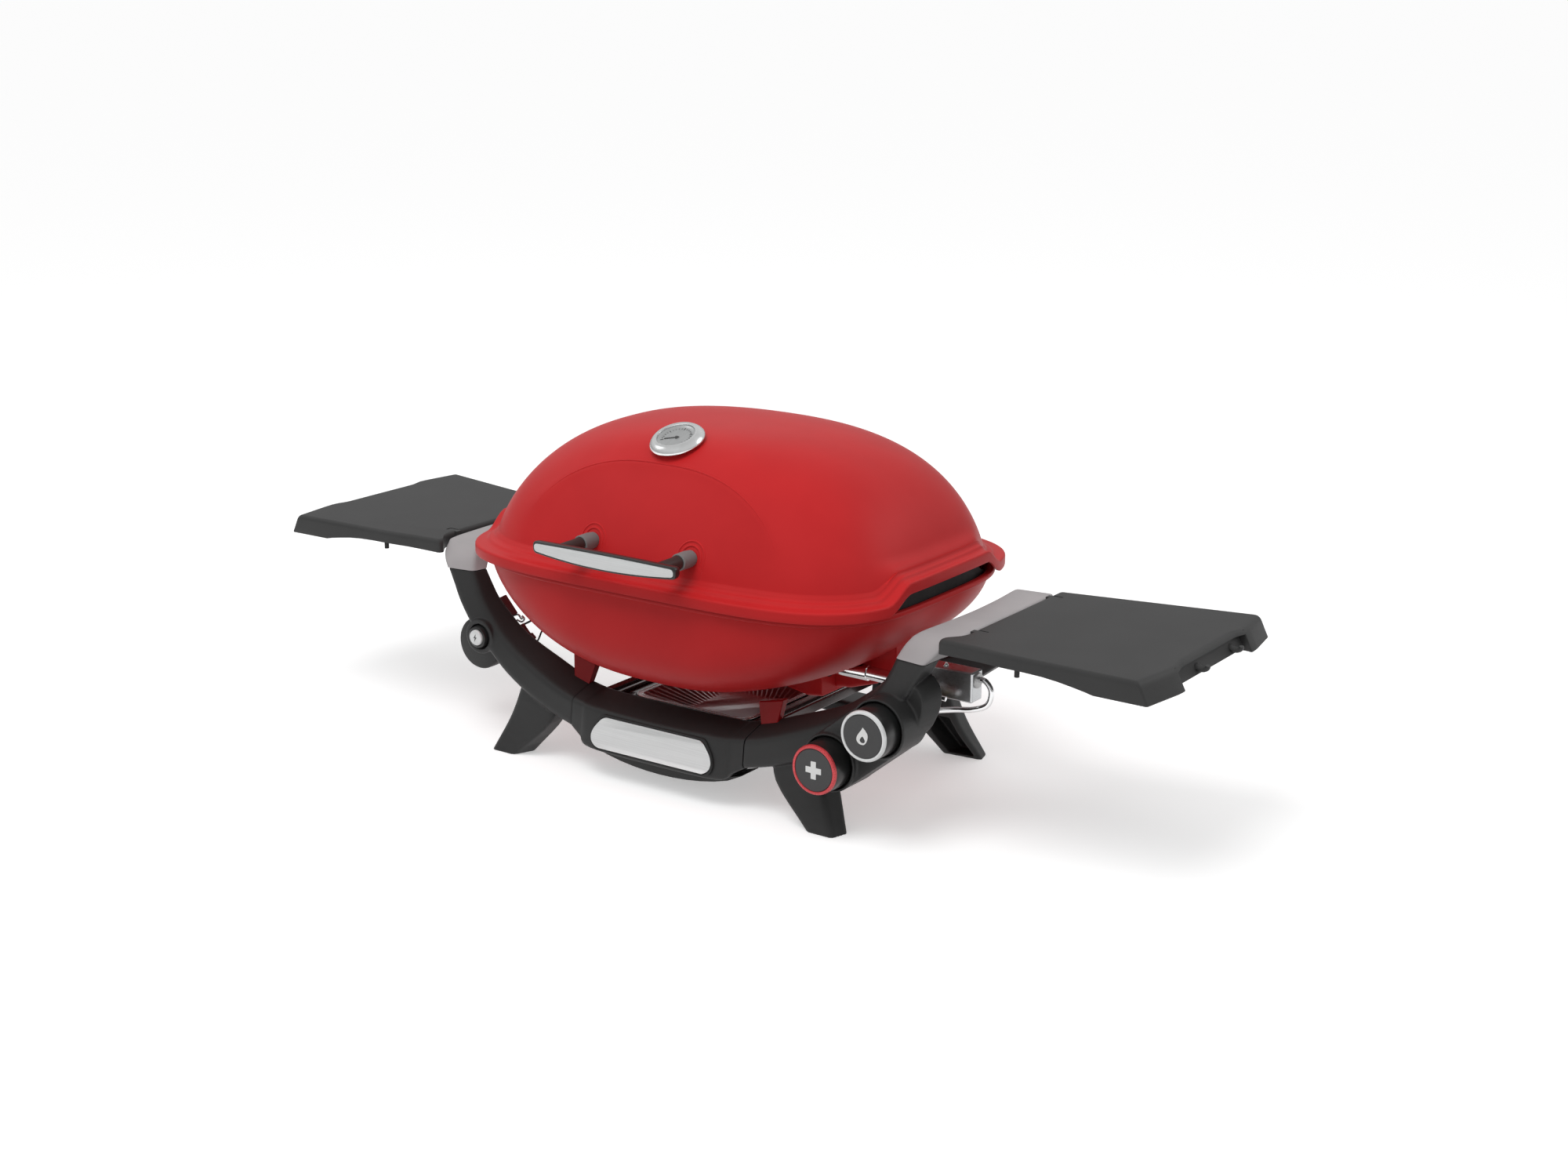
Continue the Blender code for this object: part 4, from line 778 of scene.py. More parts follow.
def make_cookbox():
    low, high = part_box("cookbox")
    half_width = high.x
    half_depth = (high.y - low.y) / 2
    levels = [0.05 + 0.9 * i / 36 for i in range(37)]
    outer = [bowl_ring(level, 0.0) for level in reversed(levels)]
    rim = []
    for inset, z in (
        (0.002, BOWL_TOP - 0.0072), (0.0004, BOWL_TOP - 0.0064), (0.0, BOWL_TOP - 0.0052),
        (0.0, BOWL_TOP - 0.0012), (0.0012, BOWL_TOP), (0.007, BOWL_TOP), (0.009, BOWL_TOP - 0.0014),
        (0.011, BOWL_TOP - 0.013), (0.014, 0.242), (0.0235, 0.24),
    ):
        rim.append(superellipse(half_width - inset, half_depth - inset, half_depth - inset, 3.9, z))
    inner = [bowl_ring(level, 0.0035) for level in levels if level > 0.28]
    drain = []
    for z in (low.z, low.z + 0.004):
        drain.append(superellipse(0.032, 0.024, 0.024, 2.4, z))
    rings = [drain[0], *outer, *rim, *inner, drain[1]]
    cookbox = mesh_object("cookbox_fine", loft_bmesh(rings, closed=True))
    port = middle_of("main_burner_tube")
    cuts = [
        cylinder_bmesh((0.12, port.y, port.z), (0.26, port.y, port.z), 0.015),
        cylinder_bmesh((0.12, 0.02, port.z), (0.26, 0.02, port.z), 0.011),
        cylinder_bmesh((-0.16, -0.03, port.z), (-0.27, -0.03, port.z), 0.006),
    ]
    combined(cookbox, "DIFFERENCE", *cuts)
    dressed(cookbox, RED, "base", ["cookbox"], "red_enamel", angle=50.0)
    gasket = [(0.009, 0.0), (0.009, 0.0016), (0.0148, 0.0016), (0.0148, 0.0)]
    gasket = lathe_bmesh(gasket, right_matrix((0.1786, port.y, port.z)), 48)
    add_piece("burner_port_gasket", gasket, SOFT_BLACK, "base", slot="black_plastic")
    sleeve = [(0.0, 0.0), (0.0098, 0.0), (0.0098, 0.056), (0.009, 0.0568), (0.0, 0.0568)]
    sleeve = lathe_bmesh(sleeve, right_matrix((0.1804, port.y, port.z)), 48)
    add_piece("burner_tube_sleeve", sleeve, CHROME, "base", slot="chrome")
    make_burner_housing(port)


def boxy_loft(sections, radii):
    """A solid through upright rectangles: the x of each, its front, its back, its foot and its top."""
    rings = []
    for x, front, back, low, high in sections:
        corners = [(x, front, low), (x, back, low), (x, back, high), (x, front, high)]
        rings.append(rounded(corners, radii, 5))
    return loft_bmesh(rings)


def make_burner_housing(port):
    """The swelling of the cookbox's flank: a block with the port and the wall behind the tube."""
    sections = (
        (0.06, -0.07, 0.086, 0.13, 0.2), (0.12, -0.062, 0.086, 0.127, 0.205),
        (0.16, port.y - 0.02, 0.086, 0.127, 0.205), (0.1786, port.y - 0.0165, 0.084, 0.1285, 0.205),
    )
    block = boxy_loft(sections, [0.006, 0.01, 0.01, 0.006])
    add_piece("burner_port_block", block, RED, "base", slot="red_enamel", angle=30.0, bevel=0.0015)
    behind = port.y + 0.0125
    sections = (
        (0.15, behind, 0.084, 0.13, 0.205), (0.2, behind, 0.082, 0.136, 0.212),
        (0.235, behind + 0.002, 0.076, 0.147, 0.218), (0.262, behind + 0.008, 0.062, 0.164, 0.222),
    )
    wall = boxy_loft(sections, [0.006, 0.012, 0.012, 0.006])
    add_piece("burner_housing", wall, RED, "base", slot="red_enamel", angle=30.0, bevel=0.0015)
    stud = Matrix.Translation((0.246, -0.166, BOWL_TOP - 0.001)) @ Matrix.Rotation(math.pi, 4, "X")
    profile = [(0.0, 0.013), (0.0016, 0.0128), (0.0022, 0.0118), (0.0022, -0.002), (0.0, -0.002)]
    add_piece("rim_stud", lathe_bmesh(profile, stud, 24), STUD, "base", slot="galvanised_steel")


def make_shield_plates():
    """Two dark red plates, a spring clip and a wire between the left arm and the cookbox."""
    first = [
        (-0.328, 0.176), (-0.3176, 0.179), (-0.3074, 0.1846), (-0.2875, 0.1624), (-0.2963, 0.158),
        (-0.308, 0.152),
    ]
    second = [
        (-0.296, 0.14), (-0.2845, 0.1465), (-0.2776, 0.1506), (-0.2664, 0.1387), (-0.2627, 0.1398),
        (-0.2562, 0.1342), (-0.2593, 0.1307), (-0.2524, 0.1238), (-0.2549, 0.1224), (-0.27, 0.116),
    ]
    for name, outline in (("upper", first), ("lower", second)):
        rings = []
        for y in (-0.1, -0.0985):
            rings.append(rounded([(x, y, z) for x, z in outline], 0.0012, 2))
        add_piece(
            f"shield_plate_{name}", loft_bmesh(rings), RED_STEEL, "base", slot="red_steel", bevel=0.0003
        )
    loops = (
        [
            (-0.296, -0.0995, 0.157), (-0.288, -0.098, 0.16), (-0.284, -0.096, 0.1545),
            (-0.28, -0.096, 0.1575),
        ],
        [
            (-0.2915, -0.097, 0.152), (-0.2845, -0.095, 0.15), (-0.28, -0.095, 0.1545),
            (-0.283, -0.096, 0.159),
        ],
    )
    for i, path in enumerate(loops):
        points = smooth_path(path, 8)
        add_piece(f"spring_clip_{i}", tube_bmesh(points, 0.0014, 12), CHROME, "base", slot="chrome")
    path = [
        (-0.244, -0.09, 0.152), (-0.2495, -0.095, 0.1435), (-0.2494, -0.1, 0.1373),
        (-0.2533, -0.1, 0.1308), (-0.26, -0.1, 0.1264),
    ]
    points = smooth_path(path, 8)
    add_piece("ground_wire", tube_bmesh(points, 0.0012, 12), SOFT_BLACK, "base", slot="black_plastic")


def make_vent_shade_strips():
    """A dark strip with a coarse bumpy grain behind each side vent, on the cookbox ledge: painted shade, a
    sheet standing in for the shadowed inside of the grill seen through the vent.
    """
    for label, side in (("left", -1), ("right", 1)):
        ring = superellipse(0.2985, 0.2085, 0.2085, 3.9, 0.0, 512)
        path = [p for p in ring if side * p.x > 0.0 and abs(p.y) < 0.122]
        path.sort(key=lambda p: p.y)
        thickness = 0.001
        rows = []
        for p in path:
            high = BOWL_TOP + 0.0015 + 0.0165 * (1 - smoothstep(0.08, 0.12, abs(p.y)))
            inner = p.x - side * thickness
            low = BOWL_TOP - 0.004
            rows.append(
                [
                    Vector((p.x, p.y, low)),
                    Vector((p.x, p.y, high)),
                    Vector((inner, p.y, high)),
                    Vector((inner, p.y, low)),
                ]
            )
        add_piece(f"vent_screen_{label}", loft_bmesh(rows), VENT_SHADE_BLACK, "base", slot="black_plastic")


# ---------------------------------------------------------------- cradle
# Each station of a front arm: the x and z of its front crease, its outer edge and its inner back edge.
ARM_STATIONS = (
    (0.1343, 0.0932, 0.1343, 0.056, 0.1343, 0.107), (0.1646, 0.1007, 0.174, 0.066, 0.159, 0.115),
    (0.1976, 0.1126, 0.213, 0.08, 0.189, 0.126), (0.2348, 0.1279, 0.256, 0.101, 0.224, 0.1385),
    (0.2668, 0.1457, 0.292, 0.1263, 0.252, 0.15), (0.2896, 0.1644, 0.321, 0.1494, 0.277, 0.1675),
    (0.3092, 0.1861, 0.3455, 0.1785, 0.299, 0.186), (0.3188, 0.2035, 0.359, 0.2035, 0.3115, 0.2035),
    (0.3265, CAP_SEAM_Z, 0.3692, CAP_SEAM_Z, 0.3229, CAP_SEAM_Z),
)
MAIN_KNOB = middle_of("main_knob")
SMALL_KNOB = middle_of("small_knob")
CUP_RADIUS = 0.0362
CUP_FRONT_Y = -0.171
CUP_FLOOR_Y = -0.161
CUP_BACK_Y = -0.118
KNOB_RADIUS = 0.0305
BUTTON = middle_of("igniter_button")


def crease_y(x):
    """The hoop bows: its front crease moves back as the arm climbs."""
    return -0.1771 + 0.36 * x**2


def outer_edge_y(x):
    return -0.18 + 0.257 * x**2


def inner_back_y(x):
    return -0.1335 + 0.056 * x


def arm_corners(station):
    cx, cz, ox, oz, bx, bz = station
    return [
        Vector((cx, crease_y(cx), cz)),
        Vector((ox, outer_edge_y(ox), oz)),
        Vector((ox, inner_back_y(bx) + 0.008 * smoothstep(0.25, 0.36, ox), oz)),
        Vector((bx, inner_back_y(bx), bz)),
    ]


def arm_bmesh(x, y):
    rows = smooth_rows([arm_corners(station) for station in ARM_STATIONS], 8)
    return loft_bmesh([mirrored(rounded(row, [0.007, 0.009, 0.004, 0.006]), x, y) for row in rows])


def leg_bmesh(x, y):
    """The flared foot, from inside the arm down to the ground."""
    base = [(0.2305, -0.1795, 0.0), (0.2675, -0.18, 0.0), (0.275, -0.153, 0.0), (0.217, -0.148, 0.0)]
    middle = [
        (0.1765, -0.1695, 0.05), (0.245, -0.166, 0.05), (0.25, -0.133, 0.05), (0.179, -0.131, 0.05)
    ]
    top = [(0.17, -0.16, 0.088), (0.23, -0.156, 0.102), (0.232, -0.129, 0.102), (0.17, -0.133, 0.088)]
    rows = [[Vector(p) for p in row] for row in (base, middle, top)]
    return loft_bmesh([mirrored(rounded(row, 0.007), x, y) for row in smooth_rows(rows, 4)])


def leg_pocket_bmesh(x, y):
    """The hollow of a foot, open towards the middle of the grill."""
    base = [
        (0.2325, -0.1735, 0.004), (0.2615, -0.1735, 0.004), (0.269, -0.12, 0.004),
        (0.2225, -0.12, 0.004),
    ]
    top = [(0.193, -0.159, 0.056), (0.236, -0.1575, 0.056), (0.239, -0.1, 0.056), (0.189, -0.1, 0.056)]
    return loft_bmesh([mirrored(base, x, y), mirrored(top, x, y)])


def knob_housing():
    """The solids that make the two knobs' cups, the bridge between them and the shoulder outside."""
    solids = []
    spots = [Vector((MAIN_KNOB.x, 0.0, MAIN_KNOB.z)), Vector((SMALL_KNOB.x, 0.0, SMALL_KNOB.z))]
    for spot in spots:
        solids.append(
            cylinder_bmesh(
                (spot.x, CUP_FRONT_Y, spot.z), (spot.x, CUP_BACK_Y, spot.z), CUP_RADIUS, sides=96
            )
        )
    along = (spots[0] - spots[1]).normalized()
    across = Vector((along.z, 0.0, -along.x)) * (CUP_RADIUS - 0.0004)
    bridge = [spots[1] - across, spots[1] + across, spots[0] + across, spots[0] - across]
    rings = [[point + Vector((0.0, y, 0.0)) for point in bridge] for y in (-0.165, CUP_BACK_Y + 0.0006)]
    solids.append(loft_bmesh(rings))
    front = [
        (0.33, 0.172), (0.344, 0.13), (0.357, 0.141), (0.364, 0.16),
        (0.3655, 0.176), (0.361, 0.187), (0.35, 0.197),
    ]
    back = [
        (0.33, 0.175), (0.349, 0.124), (0.363, 0.139), (0.373, 0.16),
        (0.3765, 0.178), (0.374, 0.19), (0.363, 0.205),
    ]
    rings = []
    for outline, y in ((front, -0.14), (back, -0.113)):
        rings.append(rounded([(x, y, z) for x, z in outline], 0.006, 3))
    solids.append(loft_bmesh(rings))
    return solids


def make_arms():
    for side, x in (("left", -1), ("right", 1)):
        for row, y in (("front", 1), ("back", -1)):
            node = f"{side}_{row}_arm"
            arm = mesh_object(node + "_fine", arm_bmesh(x, y))
            combined(arm, "UNION", leg_bmesh(x, y))
            cuts = [leg_pocket_bmesh(x, y)]
            if node == "right_front_arm":
                combined(arm, "UNION", *knob_housing())
                for spot in (MAIN_KNOB, SMALL_KNOB):
                    mouth = (spot.x, -0.22, spot.z)
                    cuts.append(
                        cylinder_bmesh(mouth, (spot.x, CUP_FLOOR_Y, spot.z), KNOB_RADIUS + 0.0024, sides=96)
                    )
                    cuts.append(cylinder_bmesh(mouth, (spot.x, -0.05, spot.z), 0.006))
            if node == "left_front_arm":
                boss = cylinder_bmesh(
                    (BUTTON.x, -0.156, BUTTON.z), (BUTTON.x, -0.12, BUTTON.z), 0.023, sides=96
                )
                combined(arm, "UNION", boss)
                mouth = (BUTTON.x, -0.2, BUTTON.z)
                cuts.append(cylinder_bmesh(mouth, (BUTTON.x, -0.148, BUTTON.z), 0.0165, sides=96))
                cuts.append(cylinder_bmesh(mouth, (BUTTON.x, -0.09, BUTTON.z), 0.0066))
            combined(arm, "DIFFERENCE", *cuts)
            moulded(arm, 0.0013, 5)
            dressed(arm, CHARCOAL, "base", [node], "charcoal_plastic", angle=60.0)


# Half of a rail: front inner, front outer, back outer and back inner corners, from its seam to mid rail.
RAIL_STATIONS = (
    (
        (0.3265, crease_y(0.3265), CAP_SEAM_Z + GAP),
        (0.3692, outer_edge_y(0.3692), CAP_SEAM_Z + GAP),
        (0.3692, inner_back_y(0.3229) + 0.008, CAP_SEAM_Z + GAP),
        (0.3229, inner_back_y(0.3229), CAP_SEAM_Z + GAP),
    ),
    ((0.3315, -0.131, 0.236), (0.3775, -0.14, 0.231), (0.38, -0.102, 0.2262), (0.327, -0.109, 0.2262)),
    ((0.3345, -0.124, 0.243), (0.384, -0.133, 0.24), (0.386, -0.096, 0.229), (0.331, -0.103, 0.229)),
    (
        (0.3375, -0.1165, 0.2478), (0.3895, -0.1205, 0.2482), (0.3895, -0.091, 0.232),
        (0.334, -0.096, 0.2315),
    ),
    ((0.343, -0.1, 0.2518), (0.395, -0.105, 0.2518), (0.3935, -0.085, 0.2338), (0.339, -0.086, 0.2338)),
    ((0.348, -0.05, 0.2528), (0.3968, -0.05, 0.2528), (0.396, -0.05, 0.234), (0.346, -0.05, 0.234)),
    ((0.3495, 0.0, 0.2528), (0.3975, 0.0, 0.2528), (0.3968, 0.0, 0.234), (0.3475, 0.0, 0.234)),
)


def pin_bore_bmesh(x, start, end):
    return cylinder_bmesh((x * PIN.x, start, PIN.z), (x * PIN.x, end, PIN.z), PIN_BORE, sides=24)


def make_rails():
    for side, x in (("left", -1), ("right", 1)):
        half = [[Vector(corner) for corner in station] for station in RAIL_STATIONS]
        rows = half + [mirrored(row, 1, -1) for row in reversed(half[:-1])]
        rings = [
            mirrored(rounded(row, [0.006, 0.006, 0.003, 0.004]), x) for row in smooth_rows(rows, 8)
        ]
        rail = mesh_object(f"{side}_rail_fine", loft_bmesh(rings))
        dressed(rail, LIGHT_GREY, "base", [f"{side}_rail"], "light_grey_paint", angle=38.0)
        for y, row in ((-LUG_Y, "front"), (LUG_Y, "back")):
            low_x, high_x = sorted(x * edge for edge in LUG_X)
            block = box_bmesh((low_x, y - LUG_HALF, 0.244), (high_x, y + LUG_HALF, 0.2555))
            lug = mesh_object(f"{side}_rail_lug_{row}", block)
            combined(lug, "DIFFERENCE", pin_bore_bmesh(x, y - 0.02, y + 0.02))
            dressed(lug, TABLE_GREY, "base", slot="table_grey_plastic", bevel=0.0003)


# The middle cradle piece: x, crease y and z, lower front y and z, back y, its top z and lower z.
FRONT_STATIONS = (
    (0.134, -0.1706, 0.0932, -0.1754, 0.056, -0.126, 0.107, 0.056),
    (0.118, -0.1722, 0.0917, -0.179, 0.047, -0.125, 0.1035, 0.046),
    (0.098, -0.174, 0.09, -0.1845, 0.037, -0.123, 0.1005, 0.038),
    (0.0, -0.1755, 0.0885, -0.187, 0.036, -0.123, 0.0985, 0.037),
)
BACK_STATIONS = (
    (0.134, 0.1706, 0.0932, 0.1754, 0.056, 0.126, 0.107, 0.056),
    (0.125, 0.1712, 0.087, 0.175, 0.048, 0.125, 0.088, 0.048),
    (0.113, 0.172, 0.053, 0.172, 0.033, 0.124, 0.053, 0.033),
    (0.0, 0.173, 0.052, 0.173, 0.032, 0.125, 0.052, 0.032),
)


def cradle_corners(station, x):
    sx, front, top, low_y, low_z, back, back_top, back_low = station
    return [
        Vector((x * sx, front, top)),
        Vector((x * sx, low_y, low_z)),
        Vector((x * sx, back, back_low)),
        Vector((x * sx, back, back_top)),
    ]


def plate_outline(grow):
    """The name plate's outline in x and height: a flat lens with cut corners."""
    half = [(0.0775, 0.082), (0.09, 0.067), (0.0935, 0.0575), (0.0915, 0.049), (0.084, 0.043)]
    corners = [Vector((x, 0.0, z)) for x, z in half] + [Vector((-x, 0.0, z)) for x, z in reversed(half)]
    centre = Vector((0.0, 0.0, 0.0625))
    wide = []
    for p in corners:
        out = p - centre
        share = Vector((math.copysign(grow, out.x), 0.0, out.z * grow / 0.0195))
        wide.append(p + share)
    return rounded(wide, [0.006, 0.01, 0.01, 0.008, 0.006, 0.006, 0.008, 0.01, 0.01, 0.006], 5)


def front_face_y(z):
    """The front face of the middle cradle piece leans out towards its foot."""
    return -0.1755 - (0.0885 - z) * (0.187 - 0.1755) / (0.0885 - 0.036)


def plate_rings(*levels):
    """Outlines of the name plate, each grown by so much and standing so far proud of the front face."""
    rings = []
    for grow, proud in levels:
        outline = plate_outline(grow)
        rings.append([Vector((p.x, front_face_y(p.z) - proud, p.z)) for p in outline])
    return rings


def make_cradles():
    for node, stations in (("front_cradle", FRONT_STATIONS), ("back_cradle", BACK_STATIONS)):
        right = [cradle_corners(station, 1.0) for station in stations]
        left = [cradle_corners(station, -1.0) for station in reversed(stations[:-1])]
        rows = smooth_rows(right + left, 6)
        radii = [0.006, 0.007, 0.005, 0.007]
        cradle = mesh_object(node + "_fine", loft_bmesh([rounded(row, radii) for row in rows]))
        dressed(cradle, CHARCOAL, "base", [node], "charcoal_plastic", angle=38.0)
    plate = plate_rings((-0.0004, 0.0), (0.0, 0.0004), (0.0, 0.0016), (-0.0008, 0.0021))
    replace_node("name_plate", loft_bmesh(plate), PLATE)
    surround = plate_rings(
        (0.0032, -0.003), (0.0032, 0.0006), (0.0022, 0.0016), (0.0008, 0.0016), (0.0006, -0.003)
    )
    add_piece(
        "name_plate_surround", loft_bmesh(surround, closed=True), SOFT_BLACK, "base",
        slot="black_plastic",
    )


# ---------------------------------------------------------------- side tables
TABLE_CORNERS = (
    (0.4, -0.106, 0.006), (0.3958, -0.119, 0.008), (0.383, -0.1345, 0.005), (0.385, -0.1405, 0.003),
    (0.43, -0.1432, 0.02), (0.471, -0.148, 0.03), (0.6395, -0.1512, 0.003), (0.6485, -0.092, 0.005),
    (0.649, -0.078, 0.005), (0.644, -0.06, 0.005), (0.644, 0.078, 0.005), (0.649, 0.096, 0.005),
    (0.6485, 0.11, 0.005), (0.6395, 0.162, 0.003), (0.4, 0.117, 0.003),
)
TABLE_TOP = 0.256


def table_outline(shrink, z, x, flare):
    """The table's plan, pulled in by shrink from its edges, with its outer end flared."""
    ring = []
    radii = []
    for px, py, radius in TABLE_CORNERS:
        dx = px - 0.53
        dy = py - 0.005
        reach = px + flare * smoothstep(0.6, 0.64, px)
        reach -= math.copysign(min(shrink, abs(dx)), dx)
        ring.append(Vector((x * reach, py - math.copysign(min(shrink, abs(dy)), dy), z)))
        radii.append(radius)
    return rounded(ring, radii, 4)


def hook_bmesh(x, y):
    """A small tool hook: a finger that stands out from the table's end and curls up."""
    path = [(0.644, 0.241), (0.65, 0.2392), (0.655, 0.239), (0.6586, 0.2408), (0.6596, 0.244)]
    points = [Vector((x * px, y, pz)) for px, pz in path]
    points = smooth_path(points, 4)
    bm = tube_bmesh(points, lambda share: 0.004 - 0.0014 * share, 16)
    wide = Matrix.Translation((0.0, y, 0.0)) @ Matrix.Diagonal((1.0, 1.5, 1.0, 1.0)) @ Matrix.Translation(
        (0.0, -y, 0.0)
    )
    bm.transform(wide)
    return bm


def make_tables():
    for side, x in (("left", -1), ("right", 1)):
        flare = 0.012
        # How far each ring is pulled in, its height, and its share of the flare of the outer end.
        levels = (
            (0.0004, 0.2299, 1.0), (0.0, 0.231, 1.0), (0.0, 0.24, 0.62), (0.0, 0.249, 0.26),
            (0.0002, 0.2515, 0.16), (0.001, 0.2536, 0.09), (0.0022, 0.255, 0.05), (0.004, 0.2558, 0.02),
            (0.006, TABLE_TOP, 0.0),
        )
        rings = [table_outline(shrink, z, x, flare * share) for shrink, z, share in levels]
        table = mesh_object(f"{side}_side_table_fine", loft_bmesh(rings))
        cavity = []
        for z, reach in ((0.226, flare + 0.0018), (0.2525, 0.001)):
            ring = table_outline(0.004, z, 1.0, reach)
            cavity.append([Vector((x * max(p.x, 0.419), p.y, p.z)) for p in ring])
        skirt = (
            (0.37, 0.22), (0.598, 0.22), (0.59, 0.229), (0.576, 0.2322), (0.56, 0.2348),
            (0.542, 0.2374), (0.522, 0.2392), (0.496, 0.24), (0.44, 0.2398), (0.37, 0.238),
        )
        grip = []
        for z, top in ((0.22, 0.0), (0.244, 0.0), (0.25, 0.006)):
            corners = [(0.637 + top, -0.078), (0.68, -0.078), (0.68, 0.096), (0.637 + top, 0.096)]
            grip.append([Vector((x * px, py, z)) for px, py in corners])
        cuts = [loft_bmesh(cavity), slab_bmesh(skirt, (-0.2, 0.2), x), loft_bmesh(grip)]
        for y in (-LUG_Y, LUG_Y):
            low_x, high_x = sorted(x * edge for edge in NOTCH_X)
            cuts.append(box_bmesh((low_x, y - NOTCH_HALF, 0.22), (high_x, y + NOTCH_HALF, 0.27)))
        cuts.append(pin_bore_bmesh(x, -0.105, 0.105))
        combined(table, "DIFFERENCE", *cuts)
        wall = [(0.6335, 0.2552), (0.639, 0.2552), (0.65, 0.2334), (0.6465, 0.2328), (0.6335, 0.25)]
        additions = [slab_bmesh(wall, (-0.0795, 0.0975), x)]
        cheek = [(0.6335, 0.255), (0.648, 0.255), (0.66, 0.2304), (0.644, 0.2304)]
        for y in (-0.08, 0.0955):
            additions.append(slab_bmesh(cheek, (y, y + 0.0025), x))
        additions += [hook_bmesh(x, y) for y in (-0.02, 0.068)]
        additions.append(
            cylinder_bmesh((x * 0.485, -0.137, 0.229), (x * 0.485, -0.137, 0.254), 0.003, sides=24)
        )
        combined(table, "UNION", *additions)
        body = f"{side}_table"
        dressed(table, TABLE_GREY, body, [f"{side}_side_table"], "table_grey_plastic", angle=32.0)


# ---------------------------------------------------------------- controls
KNOB_FACE_Y = -0.2
KNOB_LENGTH = 0.034
BUTTON_FACE_Y = -0.163


def plus_mark(matrix, reach, half, height):
    corners = [
        (half, half), (half, reach), (-half, reach), (-half, half), (-reach, half), (-reach, -half),
        (-half, -half), (-half, -reach), (half, -reach), (half, -half), (reach, -half), (reach, half),
    ]
    outline = rounded([(x, y, 0.0) for x, y in corners], 0.0005, 2)
    return loft_bmesh([[matrix @ Vector((p.x, p.y, z)) for p in outline] for z in (-height, height)])


def flame_mark(matrix, height):
    """A plain flame: a drop with a smaller drop cut out of its foot."""
    half = [
        (0.0, 0.0112), (0.0028, 0.0078), (0.0056, 0.004), (0.0072, -0.0004), (0.0066, -0.0054),
        (0.0036, -0.0088), (0.0, -0.0096),
    ]
    inner = [(0.0, 0.0008), (0.0022, -0.0016), (0.0036, -0.0044), (0.0026, -0.0066), (0.0, -0.0074)]
    rings = []
    for line, lean in ((half, 0.0012), (inner, 0.0)):
        loop = line + [(-x, y) for x, y in reversed(line[1:-1])]
        loop = [Vector((x + lean * math.sin(y * 260), y, 0.0)) for x, y in loop]
        fine = smooth_path([*loop, loop[0]], 6)
        rings.append(evenly_spaced(fine, 96))
    outer, hole = rings
    levels = ((outer, -height), (outer, height), (hole, height), (hole, -height))
    rings = [[matrix @ Vector((p.x, p.y, z)) for p in ring] for ring, z in levels]
    return loft_bmesh(rings, closed=True)


def make_knobs():
    for label, ring_material in (("main", WHITE_RING), ("small", RED_RING)):
        place = middle_of(f"{label}_knob")
        matrix = face_matrix(Vector((place.x, KNOB_FACE_Y, place.z)))
        body = f"{label}_dial"
        barrel = [
            (0.0, 0.0), (0.026, 0.0), (0.0262, -0.0004), (0.0262, -0.0028),
            (KNOB_RADIUS - 0.0012, -0.0028), (KNOB_RADIUS - 0.0003, -0.0032), (KNOB_RADIUS, -0.004),
            (KNOB_RADIUS + 0.0001, -0.01), (KNOB_RADIUS + 0.0006, -KNOB_LENGTH + 0.001),
            (KNOB_RADIUS, -KNOB_LENGTH), (0.027, -KNOB_LENGTH), (0.027, -KNOB_LENGTH + 0.008),
            (0.0, -KNOB_LENGTH + 0.008),
        ]
        replace_node(f"{label}_knob", lathe_bmesh(barrel, matrix, 128), BLACK)
        face = [(0.0, 0.0005), (0.0254, 0.0005), (0.0259, 0.0001), (0.0259, -0.002), (0.0, -0.002)]
        add_piece(
            f"{label}_knob_face", lathe_bmesh(face, matrix, 96), KNOB_FACE, body, slot="black_plastic"
        )
        ring = [
            (0.0263, 0.0002), (0.0267, 0.001), (0.0276, 0.0014), (0.0287, 0.0012), (0.0298, 0.0003),
            (0.0304, -0.001), (0.0306, -0.0028), (0.0263, -0.0028),
        ]
        replace_node(f"{label}_knob_ring", lathe_bmesh(ring, matrix, 128), ring_material, angle=60.0)
        lift = matrix @ Matrix.Translation((0.0, 0.0, 0.0007))
        if label == "small":
            mark = plus_mark(lift, 0.0108, 0.0036, 0.0003)
        else:
            mark = flame_mark(lift, 0.0003)
        add_piece(f"{label}_knob_mark", mark, SYMBOL_WHITE, body, slot="white_ring")
        refined(f"{label}_valve_stem", BRASS, 0.0002, 40.0)
        refined(f"{label}_valve_body", BRASS, 0.0006, 40.0)


